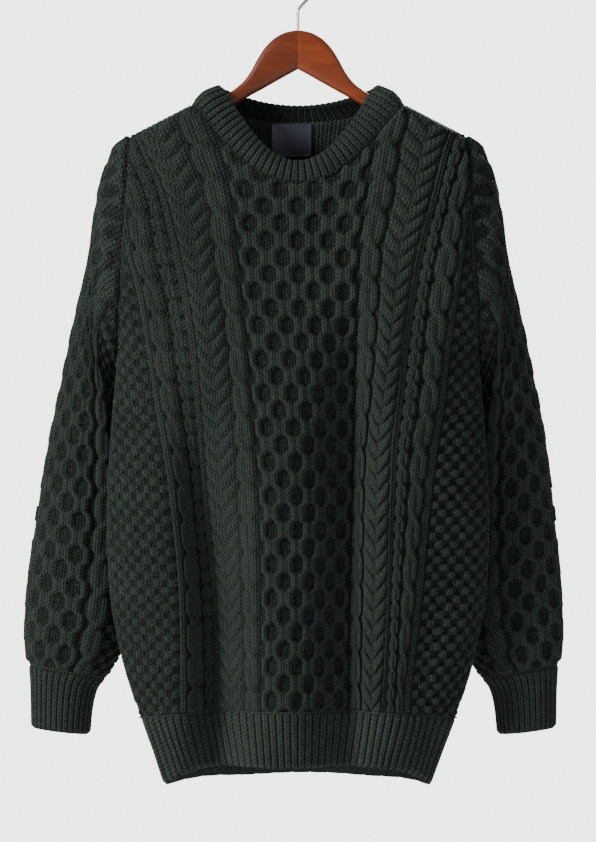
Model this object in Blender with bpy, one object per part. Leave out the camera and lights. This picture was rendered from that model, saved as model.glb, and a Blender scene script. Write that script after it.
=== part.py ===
"""Cable-knit crewneck sweater hanging on a wooden hanger.

Metres, +Z up. The origin is under the crown of the hanger's hook, where a rail carries it.
The garment's front looks along -Y, and its left sleeve in front view lies at -X.

Each knitted piece is a wall. Its inner face is plain and its outer face carries the cables,
ribs and cells. A wall is described by columns that run down the piece: the outer columns
follow the knitted strips, so that their points lie on ridges and in grooves, and the inner
columns are few. Neighbouring columns are zipped together with triangles.
"""
import math

import bmesh
import bpy
import numpy as np

# Driving sizes of the cloth
WALL = 0.003                # thickness of the plain knit
SEAM = 0.0003               # space left between two pieces at a seam
CENTRE_X = 0.004            # the front's middle line hangs a little to one side

# Neck, shoulder and armhole
NECK_HALF = 0.108           # half the width of the neck seam
SHOULDER_TOP = -0.1455      # height of the neck corner of the shoulder
SHOULDER_HALF = 0.170       # half the width across the shoulder tips
SHOULDER_SLOPE = 0.53       # fall of the shoulder for each metre outwards
SHOULDER_ROLL = 0.009       # height over which the cloth rolls over the hanger
UNDERARM_Z = -0.398
UNDERARM_HALF = 0.184
ARMHOLE_DEPTH = 0.034       # half the front-to-back width of the armhole
FRONT_NECK_DROP = 0.0803
BACK_NECK_DROP = 0.016
NECK_POWER = 1.15
SWEEP_FORWARD = 0.012       # how far the hanger brings the shoulder tips forward

SHOULDER_TIP_Z = SHOULDER_TOP - SHOULDER_SLOPE * (SHOULDER_HALF - NECK_HALF)

# Body sections: height, half width, front depth, back depth, squareness of the sides
BODY = (
    # z, half, front, back, power
    (-0.140, 0.170, 0.024, 0.023, 5.0),
    (-0.178, 0.170, 0.030, 0.027, 4.6),
    (-0.226, 0.1731, 0.042, 0.036, 3.6),
    (-0.300, 0.1778, 0.053, 0.046, 2.9),
    (-0.398, 0.184, 0.061, 0.053, 2.4),
    (-0.480, 0.191, 0.064, 0.057, 2.3),
    (-0.570, 0.1955, 0.065, 0.060, 2.3),
    (-0.640, 0.193, 0.066, 0.062, 2.3),
    (-0.710, 0.181, 0.066, 0.063, 2.4),
    (-0.770, 0.163, 0.064, 0.062, 2.5),
    (-0.850, 0.1345, 0.060, 0.060, 2.6),
)
SIDE_POWER = 0.78           # roundness of the section next to the side seam

# Long folds: place at the top and at the hem, height where each starts and is full, widths, depth
FRONT_FOLDS = (
    # x_top, x_hem, z_start, z_full, left, right, depth
    (0.060, 0.058, -0.230, -0.520, 0.040, 0.024, 0.024),
    (-0.112, -0.086, -0.360, -0.640, 0.026, 0.040, 0.027),
    (0.135, 0.118, -0.560, -0.760, 0.022, 0.022, 0.006),
)
BACK_FOLDS = (
    (-0.055, -0.060, -0.260, -0.560, 0.030, 0.038, 0.020),
    (0.088, 0.080, -0.330, -0.620, 0.036, 0.028, 0.023),
    (-0.135, -0.122, -0.520, -0.740, 0.020, 0.022, 0.007),
)

# Hem
HEM_TOP = -0.766
HEM_TOP_SIDE = 0.009        # how much lower the rib starts at the side seams
FRONT_HEM_BOTTOM = -0.8225
BACK_HEM_BOTTOM = -0.8385
HEM_SIDE_BOTTOM = -0.8445

# Knitted strips from the middle panel to the side panel
CELL_WIDTH = 0.028
CELL_LENGTH = 0.0345
CELLS_ACROSS = 4
STRIPS = (
    # kind, width, repeat
    ("rope", 0.021, 0.0345),
    ("chevron", 0.032, 0.0170),
    ("rib", 0.008, 0.080),
    ("cable", 0.016, 0.0170),
    ("rope", 0.023, 0.0345),
    ("rib", 0.008, 0.080),
)
# Columns inside a strip: share of its width, phase of the raised point, raised and low heights.
# A column with no low height has its raised points alone.
STRIP_COLUMNS = {
    "rope": (
        # share, phase, high, low
        (0.32, 0.40, 0.0048, 0.0026),
        (0.68, 0.60, 0.0048, 0.0026),
    ),
    "chevron": (
        (0.20, 0.55, 0.0034, 0.0006),
        (0.50, 0.00, 0.0032, None),
        (0.80, 0.55, 0.0034, 0.0006),
    ),
    "cable": (
        (0.50, 0.25, 0.0042, 0.0018),
    ),
    "rib": (
        (0.25, 0.00, 0.0028, 0.0028),
        (0.50, 0.00, 0.0008, 0.0008),
        (0.75, 0.00, 0.0028, 0.0028),
    ),
}
CELL_TOUCH = 0.0046         # height where two strands of the honeycomb touch
CELL_STRAND = 0.0040        # height of a single strand
CELL_PIT = 0.0
GROOVE_STEP = 0.070         # spacing of points down a plain groove
BASKET_COLUMNS = 3
BASKET_ROW = 0.0085
BASKET_HIGH = 0.0030
BASKET_LOW = 0.0006
BASKET_FULL_WIDTH = 0.034   # narrower side panels have a flatter basket stitch
LINING_ROWS = 4             # rows of the lining above the underarm, and below it
RELIEF_EDGE = 0.010         # the relief dies out over this length at a seam
RELIEF_TOP_Z = -0.150       # the height from which the repeats are counted
KEY_REACH = 0.030           # rows this near the top of a column match its neighbours' by share
KEY_TOP = -0.140

# Width of the strips down the body, where the hem pulls the knit in
STRIP_SCALE = (
    # z, scale
    (-0.140, 0.98),
    (-0.300, 1.0),
    (-0.620, 1.0),
    (-0.700, 0.96),
    (-0.775, 0.86),
    (-0.850, 0.76),
)

# Sleeve rings, for the right side: outer edge, inner edge, middle depth, half depth, and how
# pointed the ring is, from 1 for an ellipse to 2 at the armhole
SLEEVE = (
    # out_x, out_z, in_x, in_z, y, half, point
    (0.1703, -0.1784, 0.1843, -0.3980, -0.0120, 0.0340, 2.0),
    (0.1860, -0.1905, 0.1890, -0.4080, -0.0060, 0.0350, 1.6),
    (0.1965, -0.2190, 0.1915, -0.4220, 0.0030, 0.0350, 1.3),
    (0.2080, -0.2850, 0.1900, -0.4420, 0.0150, 0.0350, 1.1),
    (0.2230, -0.3500, 0.1830, -0.4720, 0.0260, 0.0350, 1.0),
    (0.2460, -0.4450, 0.1730, -0.5260, 0.0380, 0.0345, 1.0),
    (0.2640, -0.5500, 0.1660, -0.5980, 0.0430, 0.0340, 1.0),
    (0.2740, -0.6350, 0.1680, -0.6620, 0.0400, 0.0340, 1.0),
    (0.2765, -0.6950, 0.1800, -0.7080, 0.0350, 0.0320, 1.0),
    (0.2740, -0.7220, 0.1950, -0.7360, 0.0320, 0.0280, 1.0),
)
CUFF = (
    (0.2739, -0.7224, 0.1953, -0.7364, 0.0320, 0.0278, 1.0),
    (0.2725, -0.7360, 0.2050, -0.7480, 0.0310, 0.0235, 1.0),
    (0.2715, -0.7600, 0.2105, -0.7700, 0.0300, 0.0215, 1.0),
    (0.2710, -0.7890, 0.2130, -0.7960, 0.0290, 0.0210, 1.0),
)
SLEEVE_YAW = (
    # place in the table above, how far the ring's front turns outwards, in radians
    (0, 0.0),
    (1, 0.22),
    (2, 0.36),
    (3, 0.35),
    (4, 0.25),
    (5, 0.14),
    (6, 0.06),
    (7, 0.0),
)
SLEEVE_DRIFT = -0.0045      # both cuffs swing this far to -X
SLEEVE_END_RINGS = 0.7      # over this many rings the wall turns square to the end's plane
SLEEVE_TURN_STEP = 0.045    # share of a turn over which the face's direction is measured
SLEEVE_CELLS = 3
SLEEVE_CELL_SHARE = 0.100   # share of the sleeve's round that one cell takes
SLEEVE_ROPE_SHARE = 0.082
SLEEVE_PANEL_TURN = 0.13    # the honeycomb's middle lies this share of a turn to the front
SLEEVE_UNDER_COLUMNS = 10
SLEEVE_UNDER_ROW = 0.0172
SLEEVE_CAP_STOPS = (4.0, 3.25, 2.5, 2.0, 1.5, 1.0, 0.6, 0.3, 0.0)  # places in the table

# Ribs
HEM_RIBS = 44
HEM_TURN = 0.8              # beyond this u the hem turns to the side seam, and its inside is finer
CUFF_RIBS = 30
COLLAR_RIBS = 54
COLLAR_START = 0.0008       # the rib band starts this far above the neck seam
RIB_HIGH = 0.0018

# Collar: a rib band folded double
COLLAR_THICK = 0.0048
COLLAR_EDGE_HALF = 0.078
COLLAR_EDGE_Z = -0.1300
COLLAR_FRONT_DROP = 0.0770
COLLAR_BACK_DROP = 0.0160
COLLAR_FRONT_Y = -0.0330
COLLAR_BACK_Y = 0.0160
COLLAR_BULGE = 0.0035

# Label inside the back neck
LABEL_LEFT = -0.0278
LABEL_RIGHT = 0.0144
LABEL_TOP = -0.1630
LABEL_BOTTOM = -0.1970
LABEL_THICK = 0.0008

# Hanger arm, right side: distance out, upper edge, lower edge, half thickness
ARM = (
    # x, top, bottom, half
    (0.00015, -0.0682, -0.1089, 0.0072),
    (0.0110, -0.0700, -0.1148, 0.0072),
    (0.0225, -0.0754, -0.1213, 0.0071),
    (0.0330, -0.0850, -0.1272, 0.0070),
    (0.0420, -0.0985, -0.1322, 0.0069),
    (0.0490, -0.1115, -0.1360, 0.0068),
    (0.0580, -0.1232, -0.1415, 0.0067),
    (0.0750, -0.1356, -0.1510, 0.0066),
    (0.1080, -0.1532, -0.1680, 0.0064),
    (0.1270, -0.1593, -0.1760, 0.0060),
    (0.1500, -0.1715, -0.1870, 0.0056),
    (0.1620, -0.1795, -0.1910, 0.0048),
    (0.1655, -0.1840, -0.1900, 0.0030),
)
ARM_SIDES = 12
WOOD_TOP_Z = -0.0682

# Hook
WIRE_RADIUS = 0.0017
HOOK_RADIUS = 0.020
HOOK_CENTRE_Z = -0.0183
HOOK_START = math.radians(188)
HOOK_END = math.radians(-45)
HOOK_BEND_Z = -0.0466
HOOK_STEPS = 13


def table(rows, column, value):
    """Read one column of a table at a value of its first column."""
    keys = [row[0] for row in rows]
    values = [row[column] for row in rows]
    if keys[0] > keys[-1]:
        keys = keys[::-1]
        values = values[::-1]
    return smooth_through(keys, values, value)


def smooth_through(keys, values, value):
    """A smooth curve through a few rising keys, with no overshoot."""
    keys = np.asarray(keys, float)
    values = np.asarray(values, float)
    steps = np.diff(keys)
    slopes = np.diff(values) / steps
    tangents = np.zeros(len(keys))
    tangents[0] = slopes[0]
    tangents[-1] = slopes[-1]
    for i in range(1, len(keys) - 1):
        if slopes[i - 1] * slopes[i] > 0:
            tangents[i] = 2 * slopes[i - 1] * slopes[i] / (slopes[i - 1] + slopes[i])
    value = np.clip(value, keys[0], keys[-1])
    i = np.clip(np.searchsorted(keys, value, side="right") - 1, 0, len(keys) - 2)
    t = (value - keys[i]) / steps[i]
    h00 = (1 + 2 * t) * (1 - t) ** 2
    h10 = t * (1 - t) ** 2
    h01 = t * t * (3 - 2 * t)
    h11 = t * t * (t - 1)
    return (h00 * values[i] + h10 * steps[i] * tangents[i]
            + h01 * values[i + 1] + h11 * steps[i] * tangents[i + 1])


def ease(value, start, end):
    """Zero before start, one after end, smooth between."""
    t = np.clip((value - start) / (end - start), 0, 1)
    return t * t * (3 - 2 * t)


def mix(a, b, t):
    """The value a share t of the way from a to b."""
    return a + (b - a) * t


# The body's form

def half_width(z):
    """Half the body's width: the armhole plane above the underarm, the table below it."""
    share = np.clip((SHOULDER_TIP_Z - z) / (SHOULDER_TIP_Z - UNDERARM_Z), 0, 1)
    return np.where(z > UNDERARM_Z, mix(SHOULDER_HALF, UNDERARM_HALF, share), table(BODY, 1, z))


def armhole_half(z):
    """Half the front-to-back width of the armhole at a height, as a pointed arch."""
    middle = (SHOULDER_TIP_Z + UNDERARM_Z) / 2
    reach = (SHOULDER_TIP_Z - UNDERARM_Z) / 2
    return ARMHOLE_DEPTH * np.clip(1 - ((z - middle) / reach) ** 2, 0, 1)


def ridge_z(x):
    """Height of the shoulder seam, level across the neck."""
    return SHOULDER_TOP - SHOULDER_SLOPE * np.clip(np.abs(x) - NECK_HALF, 0, None)


def middle_y(x):
    """The plane between front and back, brought forward at the shoulder tips."""
    return -SWEEP_FORWARD * np.clip(np.abs(x) / SHOULDER_HALF, 0, 1) ** 2


def top_z(front, x, inset=0.0):
    """Upper edge of a panel: the neck curve in the middle and the shoulder seam beside it."""
    drop = FRONT_NECK_DROP if front else BACK_NECK_DROP
    scoop = np.clip(1 - (x / NECK_HALF) ** 2, 0, 1) ** NECK_POWER
    return ridge_z(x) - drop * scoop - inset


def hem_top_z(u):
    return HEM_TOP - HEM_TOP_SIDE * np.abs(u) ** 3


def hem_bottom_z(front, u):
    middle = FRONT_HEM_BOTTOM if front else BACK_HEM_BOTTOM
    return mix(middle, HEM_SIDE_BOTTOM, np.abs(u) ** 5)


def fold_depth(front, x, z):
    """How far the long folds pull the cloth in at a place."""
    total = 0.0
    for x_top, x_hem, z_start, z_full, left, right, depth in (FRONT_FOLDS if front else BACK_FOLDS):
        place = mix(x_top, x_hem, ease(-z, -z_start, -HEM_TOP))
        away = x - place
        width = np.where(away < 0, left, right)
        total = total + depth * ease(-z, -z_start, -z_full) * np.exp(-(away / width) ** 2)
    return total


def body_point(front, u, z, inset=0.0, rolled=True):
    """A point of the front or back: u runs from -1 to 1 between the sides, inset goes inwards."""
    half = half_width(z) - inset
    x = u * half
    depth = table(BODY, 2 if front else 3, z) - inset
    edge = np.clip(armhole_half(z) - inset, 0, None)
    bow = (1 - np.abs(u) ** table(BODY, 4, z)) ** SIDE_POWER
    if rolled:
        over = np.clip((ridge_z(x) - inset - z) / SHOULDER_ROLL, 0, 1)
        depth = depth * np.sqrt(1 - (1 - over) ** 2)
    out = edge + (depth - edge) * bow - fold_depth(front, x, z) * bow
    out = out + SEAM / 2
    return x, middle_y(x) + (-out if front else out), z


SECTION_U = np.linspace(-1, 1, 241)


def section_lengths(front, z):
    """Length round a section from the middle line, for each value in SECTION_U."""
    x, y, _ = body_point(front, SECTION_U, z, rolled=False)
    steps = np.hypot(np.diff(x), np.diff(y))
    lengths = np.concatenate(([0.0], np.cumsum(steps)))
    middle = CENTRE_X if front else 0.0
    return lengths - np.interp(middle, x, lengths)


def place_in_section(front, s, z):
    """The u of a point that lies a knitted distance s from the middle line."""
    lengths = section_lengths(front, z)
    return float(np.interp(s * table(STRIP_SCALE, 1, z), lengths, SECTION_U))


def side_limits(front, z):
    """Knitted distance from the middle line to both side seams."""
    lengths = section_lengths(front, z) / table(STRIP_SCALE, 1, z)
    return lengths[0], lengths[-1]


# Walls made from columns of points

def zip_columns(faces, left, right):
    """Fill the strip between two columns, each a list of (key, vertex) with rising keys."""
    i = 0
    j = 0
    while i < len(left) - 1 or j < len(right) - 1:
        left_next = math.inf
        right_next = math.inf
        if i < len(left) - 1:
            left_next = left[i][0] + left[i + 1][0]
        if j < len(right) - 1:
            right_next = right[j][0] + right[j + 1][0]
        if left_next <= right_next:
            faces.append((left[i][1], left[i + 1][1], right[j][1]))
            i += 1
        else:
            faces.append((left[i][1], right[j + 1][1], right[j][1]))
            j += 1


def add_columns(points, columns):
    """Add the columns' points, and return the columns as lists of (key, vertex)."""
    result = []
    for across, column in columns:
        entries = []
        for key, point in column:
            entries.append((key, len(points)))
            points.append(point)
        result.append((across, entries))
    return result


def rim(columns, end, closed):
    """The first or last points of the columns, as one column across them."""
    entries = [(across, column[end][1]) for across, column in columns]
    if closed:
        entries.append((columns[0][0] + 1.0, columns[0][1][end][1]))
    return entries


def wall(name, outer, inner, closed, material):
    """A closed wall between two faces, each a list of (place across, [(key, point), ...])."""
    points = []
    faces = []
    outer = add_columns(points, outer)
    inner = add_columns(points, inner)
    for face in (outer, inner):
        for a, b in zip(face, face[1:]):
            zip_columns(faces, a[1], b[1])
        if closed:
            zip_columns(faces, face[-1][1], face[0][1])
    for end in (0, -1):
        zip_columns(faces, rim(outer, end, closed), rim(inner, end, closed))
    if not closed:
        for side in (0, -1):
            zip_columns(faces, outer[side][1], inner[side][1])
    return make_object(name, points, faces, material)


def make_object(name, points, faces, material):
    """A mesh object with its faces turned outwards."""
    mesh = bpy.data.meshes.new(name)
    mesh.from_pydata([tuple(float(c) for c in p) for p in points], [], faces)
    shape = bmesh.new()
    shape.from_mesh(mesh)
    bmesh.ops.recalc_face_normals(shape, faces=shape.faces)
    shape.to_mesh(mesh)
    shape.free()
    mesh.materials.append(material)
    return place(bpy.data.objects.new(name, mesh))


def place(thing):
    bpy.data.collections[COLLECTION].objects.link(thing)
    return thing


# The knitted pattern

def row_key(z, top):
    """A row's place in its column: its height, but near the top its share of the last stretch."""
    start = top - KEY_REACH
    return z if z < start else mix(start, KEY_TOP, (z - start) / KEY_REACH)


def rows_between(low, high, step, phase):
    """Heights a whole number of steps below the counting line, clear of both ends."""
    first = math.ceil((RELIEF_TOP_Z - high) / step - phase)
    last = math.floor((RELIEF_TOP_Z - low) / step - phase)
    heights = [RELIEF_TOP_Z - (n + phase) * step for n in range(first, last + 1)]
    margin = 0.35 * min(step, 0.012)
    return [(z, n) for z, n in zip(heights, range(first, last + 1)) if low + margin < z < high - margin]


def strip_plan():
    """Columns of one half of a panel: distance from the middle, repeat, and points in a repeat.

    Each entry is (share of side panel or None, distance, step, phase, heights by row number).
    """
    plan = []
    quarter = CELL_WIDTH / 4
    for j in range(1, CELLS_ACROSS * 2):
        if j % 2:
            plan.append((j * quarter, CELL_LENGTH / 2, 0.5, (CELL_STRAND,)))
        elif j % 4:
            plan.append((j * quarter, CELL_LENGTH / 2, 0.0, (CELL_TOUCH, CELL_PIT)))
        else:
            plan.append((j * quarter, CELL_LENGTH / 2, 0.0, (CELL_PIT, CELL_TOUCH)))
    edge = CELLS_ACROSS * CELL_WIDTH / 2
    for kind, width, repeat in STRIPS:
        plan.append((edge, GROOVE_STEP, 0.0, (0.0,)))
        for share, phase, high, low in STRIP_COLUMNS[kind]:
            if kind == "rib" or low is None:
                plan.append((edge + share * width, repeat, phase, (high,)))
            else:
                plan.append((edge + share * width, repeat / 2, phase * 2, (high, low)))
        edge += width
    plan.append((edge, GROOVE_STEP, 0.0, (0.0,)))
    return plan, edge


def column_of_panel(front, place_at, step, phase, heights, strength):
    """One outer column. place_at gives u at a height."""
    top = -0.2
    for _ in range(14):
        top = float(top_z(front, place_at(top) * half_width(top)))
    bottom = HEM_TOP
    for _ in range(4):
        bottom = float(hem_top_z(place_at(bottom)))
    bottom += SEAM / 2
    rows = [(bottom, 0.0)]
    below_roll = top
    roll = []
    if abs(place_at(top) * half_width(top)) > NECK_HALF - 0.004:
        roll = [(top - 0.0055, 0.0), (top - 0.0012, 0.0), (top, 0.0)]
        below_roll = top - 0.0055
    else:
        roll = [(top, 0.0)]
    for z, n in reversed(rows_between(bottom, below_roll, step, phase)):
        if strength(z) < 0.5 and n % 4:
            continue
        if step < 0.012 and rows[-1][0] < UNDERARM_Z < z:
            rows.append((UNDERARM_Z, rows[-1][1]))
            continue
        fade = ease(z, bottom, bottom + RELIEF_EDGE) * ease(-z, -top + 0.002, -top + RELIEF_EDGE + 0.002)
        rows.append((z, heights[n % len(heights)] * float(fade) * strength(z)))
    rows += roll
    return [(row_key(z, top), body_point(front, place_at(z), z, inset=-lift)) for z, lift in rows]


def edge_column(front, side, inset=0.0):
    """The column on the side seam and round the armhole, with no relief."""
    middle = (SHOULDER_TIP_Z + UNDERARM_Z) / 2
    reach = (SHOULDER_TIP_Z - UNDERARM_Z) / 2
    low = float(hem_top_z(1.0)) + SEAM / 2
    count = 14
    rows = [mix(low, UNDERARM_Z, i / 8) for i in range(8)]
    rows += [middle - reach * math.cos(math.pi * i / count) for i in range(count + 1)]
    return [(row_key(z, SHOULDER_TIP_Z), body_point(front, float(side), z, inset)) for z in rows]


def along(front, s):
    """Gives the u of a column that stays a knitted distance s from the middle line."""
    return lambda z: place_in_section(front, s, z)


def in_side_panel(front, side, edge, i):
    """Gives the u of a column of the side panel, between its edge and the side seam."""
    share = (i + 0.7) / (BASKET_COLUMNS + 0.4)

    def find(z):
        limits = side_limits(front, z)
        return place_in_section(front, mix(side * edge, limits[side > 0], share), z)
    return find


def panel(name, front, material):
    """The front or the back: cables over a plain wall."""
    plan, edge = strip_plan()
    outer = [(-1.0, edge_column(front, -1))]

    def side_strength(side):
        def find(z):
            limits = side_limits(front, z)
            return min(1.0, (abs(limits[side > 0]) - edge) / BASKET_FULL_WIDTH)
        return find

    def full(z):
        return 1.0

    columns = []
    for side in (-1, 1):
        for i in range(BASKET_COLUMNS):
            heights = (BASKET_HIGH, BASKET_LOW) if i % 2 else (BASKET_LOW, BASKET_HIGH)
            find = in_side_panel(front, side, edge, i)
            column = column_of_panel(front, find, BASKET_ROW, 0.0, heights, side_strength(side))
            columns.append((find(HEM_TOP), column))
        for s, step, phase, heights in plan:
            find = along(front, side * s)
            columns.append((find(HEM_TOP), column_of_panel(front, find, step, phase, heights, full)))
    find = along(front, 0.0)
    columns.append((find(HEM_TOP),
                    column_of_panel(front, find, CELL_LENGTH / 2, 0.0, (CELL_PIT, CELL_TOUCH), full)))
    columns.sort(key=lambda column: column[0])
    outer += columns + [(1.0, edge_column(front, 1))]
    wall(name, outer, panel_lining(front, plan, edge), False, material)


def panel_lining(front, plan, edge):
    """The plain inner face of a panel, with few points and none of the relief."""
    finders = [along(front, 0.0)]
    for side in (-1, 1):
        finders += [along(front, side * entry[0]) for entry in plan[1::2]]
        finders += [in_side_panel(front, side, edge, i) for i in range(BASKET_COLUMNS)]
    columns = []
    for find in finders:
        top = -0.2
        for _ in range(14):
            top = float(top_z(front, find(top) * (half_width(top) - WALL), WALL))
        bottom = float(hem_top_z(find(HEM_TOP))) + SEAM / 2
        rows = [mix(bottom, UNDERARM_Z, i / LINING_ROWS) for i in range(LINING_ROWS)]
        rows += [mix(UNDERARM_Z, top - 0.012, i / LINING_ROWS) for i in range(LINING_ROWS + 1)]
        if abs(find(top) * half_width(top)) > NECK_HALF - 0.004:
            rows += [top - 0.005, top - 0.0012]
        rows.append(top)
        points = [(row_key(z, top), body_point(front, find(z), z, inset=WALL)) for z in rows]
        columns.append((find(HEM_TOP), points))
    columns.append((-1.0, edge_column(front, -1, WALL)))
    columns.append((1.0, edge_column(front, 1, WALL)))
    columns.sort(key=lambda column: column[0])
    return columns


def hem(name, front, material):
    """The rib band under a panel, as two rows of raised and low columns."""
    outer = []
    inner = []
    count = HEM_RIBS * 2
    for i in range(count + 1):
        u = mix(-1.0, 1.0, i / count)
        lift = RIB_HIGH if i % 2 else 0.0
        top = float(hem_top_z(u)) - SEAM / 2
        bottom = float(hem_bottom_z(front, u))
        rows = ((bottom, lift), (top, lift))
        outer.append((u, [(z, body_point(front, u, z, inset=-h)) for z, h in rows]))
        if i % 4 == 0 or (i % 2 == 0 and abs(u) > HEM_TURN):
            inner.append((u, [(z, body_point(front, u, z, inset=WALL)) for z, _ in rows]))
    wall(name, outer, inner, False, material)


# Sleeves and cuffs

def sleeve_ring(rows, where):
    """Interpolate the rings of a sleeve at a place along them, from 0 to the last row."""
    keys = list(range(len(rows)))
    return [smooth_through(keys, [row[c] for row in rows], where) for c in range(7)]


def sleeve_surface(rows, side, where, turn):
    """A point of a sleeve's face: turn runs once round from the outer edge over the front."""
    out_x, out_z, in_x, in_z, y, half, point = sleeve_ring(rows, where)
    reach = np.hypot(out_x - in_x, out_z - in_z) / 2
    angle = ring_angle((reach + half) / 2, half, turn)
    across = math.cos(angle) / 2
    x = (out_x + in_x) / 2 + (out_x - in_x) * across
    z = (out_z + in_z) / 2 + (out_z - in_z) * across
    drift = SLEEVE_DRIFT * float(ease(-z, 0.42, 0.70))
    bow = half * math.copysign(abs(math.sin(angle)) ** point, math.sin(angle))
    yaw = table(SLEEVE_YAW, 1, where) if rows is SLEEVE else 0.0
    return np.array([side * (x + bow * math.sin(yaw)) + drift, y - bow * math.cos(yaw), z])


def sleeve_point(rows, side, where, turn, inset=0.0):
    """A point of a sleeve, moved inwards by the inset. At both ends it stays in the end's plane."""
    point = sleeve_surface(rows, side, where, turn)
    if not inset:
        return point
    last = len(rows) - 1
    round_it = (sleeve_surface(rows, side, where, turn + SLEEVE_TURN_STEP)
                - sleeve_surface(rows, side, where, turn - SLEEVE_TURN_STEP))
    down = (sleeve_surface(rows, side, min(where + 0.05, last), turn)
            - sleeve_surface(rows, side, max(where - 0.05, 0), turn))
    out = np.cross(round_it, down) * side
    out /= np.linalg.norm(out)
    out_x, out_z, in_x, in_z = sleeve_ring(rows, where)[:4]
    plane = np.array([side * (out_z - in_z), 0.0, in_x - out_x])
    plane /= np.linalg.norm(plane)
    ends = 1 - np.clip(min(where, last - where) / SLEEVE_END_RINGS, 0, 1)
    out = out - plane * np.dot(out, plane) * ends
    return point - out / np.linalg.norm(out) * inset


RING_ANGLES = np.linspace(0, 2 * math.pi, 145)


def ring_angle(reach, half, turn):
    """The ellipse angle at a share of the length round a ring."""
    x = reach * np.cos(RING_ANGLES)
    y = half * np.sin(RING_ANGLES)
    lengths = np.concatenate(([0.0], np.cumsum(np.hypot(np.diff(x), np.diff(y)))))
    return float(np.interp(turn % 1.0, lengths / lengths[-1], RING_ANGLES))


def sleeve_plan():
    """Columns round a sleeve: turn, repeat, phase, and heights by row number."""
    plan = []
    quarter = SLEEVE_CELL_SHARE / 4
    half = SLEEVE_CELLS * SLEEVE_CELL_SHARE / 2
    for j in range(1, SLEEVE_CELLS * 4):
        heights = (CELL_STRAND,)
        if j % 4 == 2:
            heights = (CELL_PIT, CELL_TOUCH)
        elif j % 4 == 0:
            heights = (CELL_TOUCH, CELL_PIT)
        plan.append((j * quarter - half, CELL_LENGTH / 2, 0.5 if j % 2 else 0.0, heights))
    for side in (-1, 1):
        plan.append((side * half, GROOVE_STEP, 0.0, (0.0,)))
        for share, phase, high, low in STRIP_COLUMNS["rope"]:
            turn = side * (half + share * SLEEVE_ROPE_SHARE)
            plan.append((turn, CELL_LENGTH / 2, phase * 2, (high, low)))
        plan.append((side * (half + SLEEVE_ROPE_SHARE), GROOVE_STEP, 0.0, (0.0,)))
    start = half + SLEEVE_ROPE_SHARE
    under = 1 - 2 * start
    for i in range(SLEEVE_UNDER_COLUMNS):
        turn = start + under * (i + 1) / (SLEEVE_UNDER_COLUMNS + 1)
        heights = (BASKET_HIGH, BASKET_LOW) if i % 2 else (BASKET_LOW, BASKET_HIGH)
        plan.append((turn, SLEEVE_UNDER_ROW, 0.0, heights))
    plan = [(turn % 1.0, step, phase, heights) for turn, step, phase, heights in plan]
    plan.sort(key=lambda entry: entry[0])
    return plan


def sleeve_column(side, turn, step, phase, heights, plain_cap):
    """One outer column of a sleeve, with its rows counted up from the cuff.

    A plain cap follows the lining's rows round the underarm and has no relief there.
    """
    last = len(SLEEVE) - 1
    where = np.linspace(last, 0, 91)
    points = np.array([sleeve_point(SLEEVE, side, w, turn) for w in where])
    steps = np.linalg.norm(np.diff(points, axis=0), axis=1)
    lengths = np.concatenate(([0.0], np.cumsum(steps)))
    total = lengths[-1]
    rows = [(0.0, 0.0)]
    count = 0
    while (count + phase) * step < total - 0.35 * min(step, 0.012):
        up = (count + phase) * step
        if up > 0.35 * min(step, 0.012):
            fade = ease(up, 0, RELIEF_EDGE) * ease(total - up, 0.002, RELIEF_EDGE + 0.002)
            rows.append((up, heights[count % len(heights)] * float(fade)))
        count += 1
    rows = [(float(np.interp(up, lengths, where)), lift) for up, lift in rows]
    if plain_cap:
        rows = [row for row in rows if row[0] > SLEEVE_CAP_STOPS[0] + 0.1]
        rows += [(stop, 0.0) for stop in SLEEVE_CAP_STOPS]
    else:
        rows.append((0.0, 0.0))
    return [(1 - w / last, sleeve_point(SLEEVE, side, w, turn, inset=-lift)) for w, lift in rows]


def sleeve(name, side, material):
    """A tapering tube from the armhole to the cuff."""
    outer = []
    inner = []
    last = len(SLEEVE) - 1
    start = SLEEVE_CELLS * SLEEVE_CELL_SHARE / 2 + SLEEVE_ROPE_SHARE
    for i, (turn, step, phase, heights) in enumerate(sleeve_plan()):
        under = start < turn < 1 - start + 0.001
        plain_cap = under or step == GROOVE_STEP
        column = sleeve_column(side, turn + SLEEVE_PANEL_TURN, step, phase, heights, plain_cap)
        outer.append((turn, column))
        if i % 2 == 0 or under:
            stops = list(range(last, int(SLEEVE_CAP_STOPS[0]), -1)) + list(SLEEVE_CAP_STOPS)
            inner.append((turn, [(1 - w / last, sleeve_point(SLEEVE, side, w, turn + SLEEVE_PANEL_TURN,
                                                             inset=WALL)) for w in stops]))
    wall(name, outer, inner, True, material)


def cuff(name, side, material):
    """A ribbed tube below the sleeve."""
    outer = []
    inner = []
    count = CUFF_RIBS * 2
    for i in range(count):
        turn = i / count
        lift = RIB_HIGH * 0.8 if i % 2 else 0.0
        column = [(w, sleeve_point(CUFF, side, w, turn, inset=-lift)) for w in (3, 1.2, 0)]
        outer.append((turn, [(3 - w, point) for w, point in column]))
        if i % 4 == 0:
            column = [(w, sleeve_point(CUFF, side, w, turn, inset=WALL)) for w in (3, 1.2, 0)]
            inner.append((turn, [(3 - w, point) for w, point in column]))
    wall(name, outer, inner, True, material)


# Collar and label

def neck_seam(angle):
    """A point of the neck seam: the front half has a positive sine."""
    front = math.sin(angle) >= 0
    x = NECK_HALF * math.cos(angle)
    z = float(top_z(front, x))
    u = x / float(half_width(z))
    return np.array(body_point(front, u, z), float)


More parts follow.
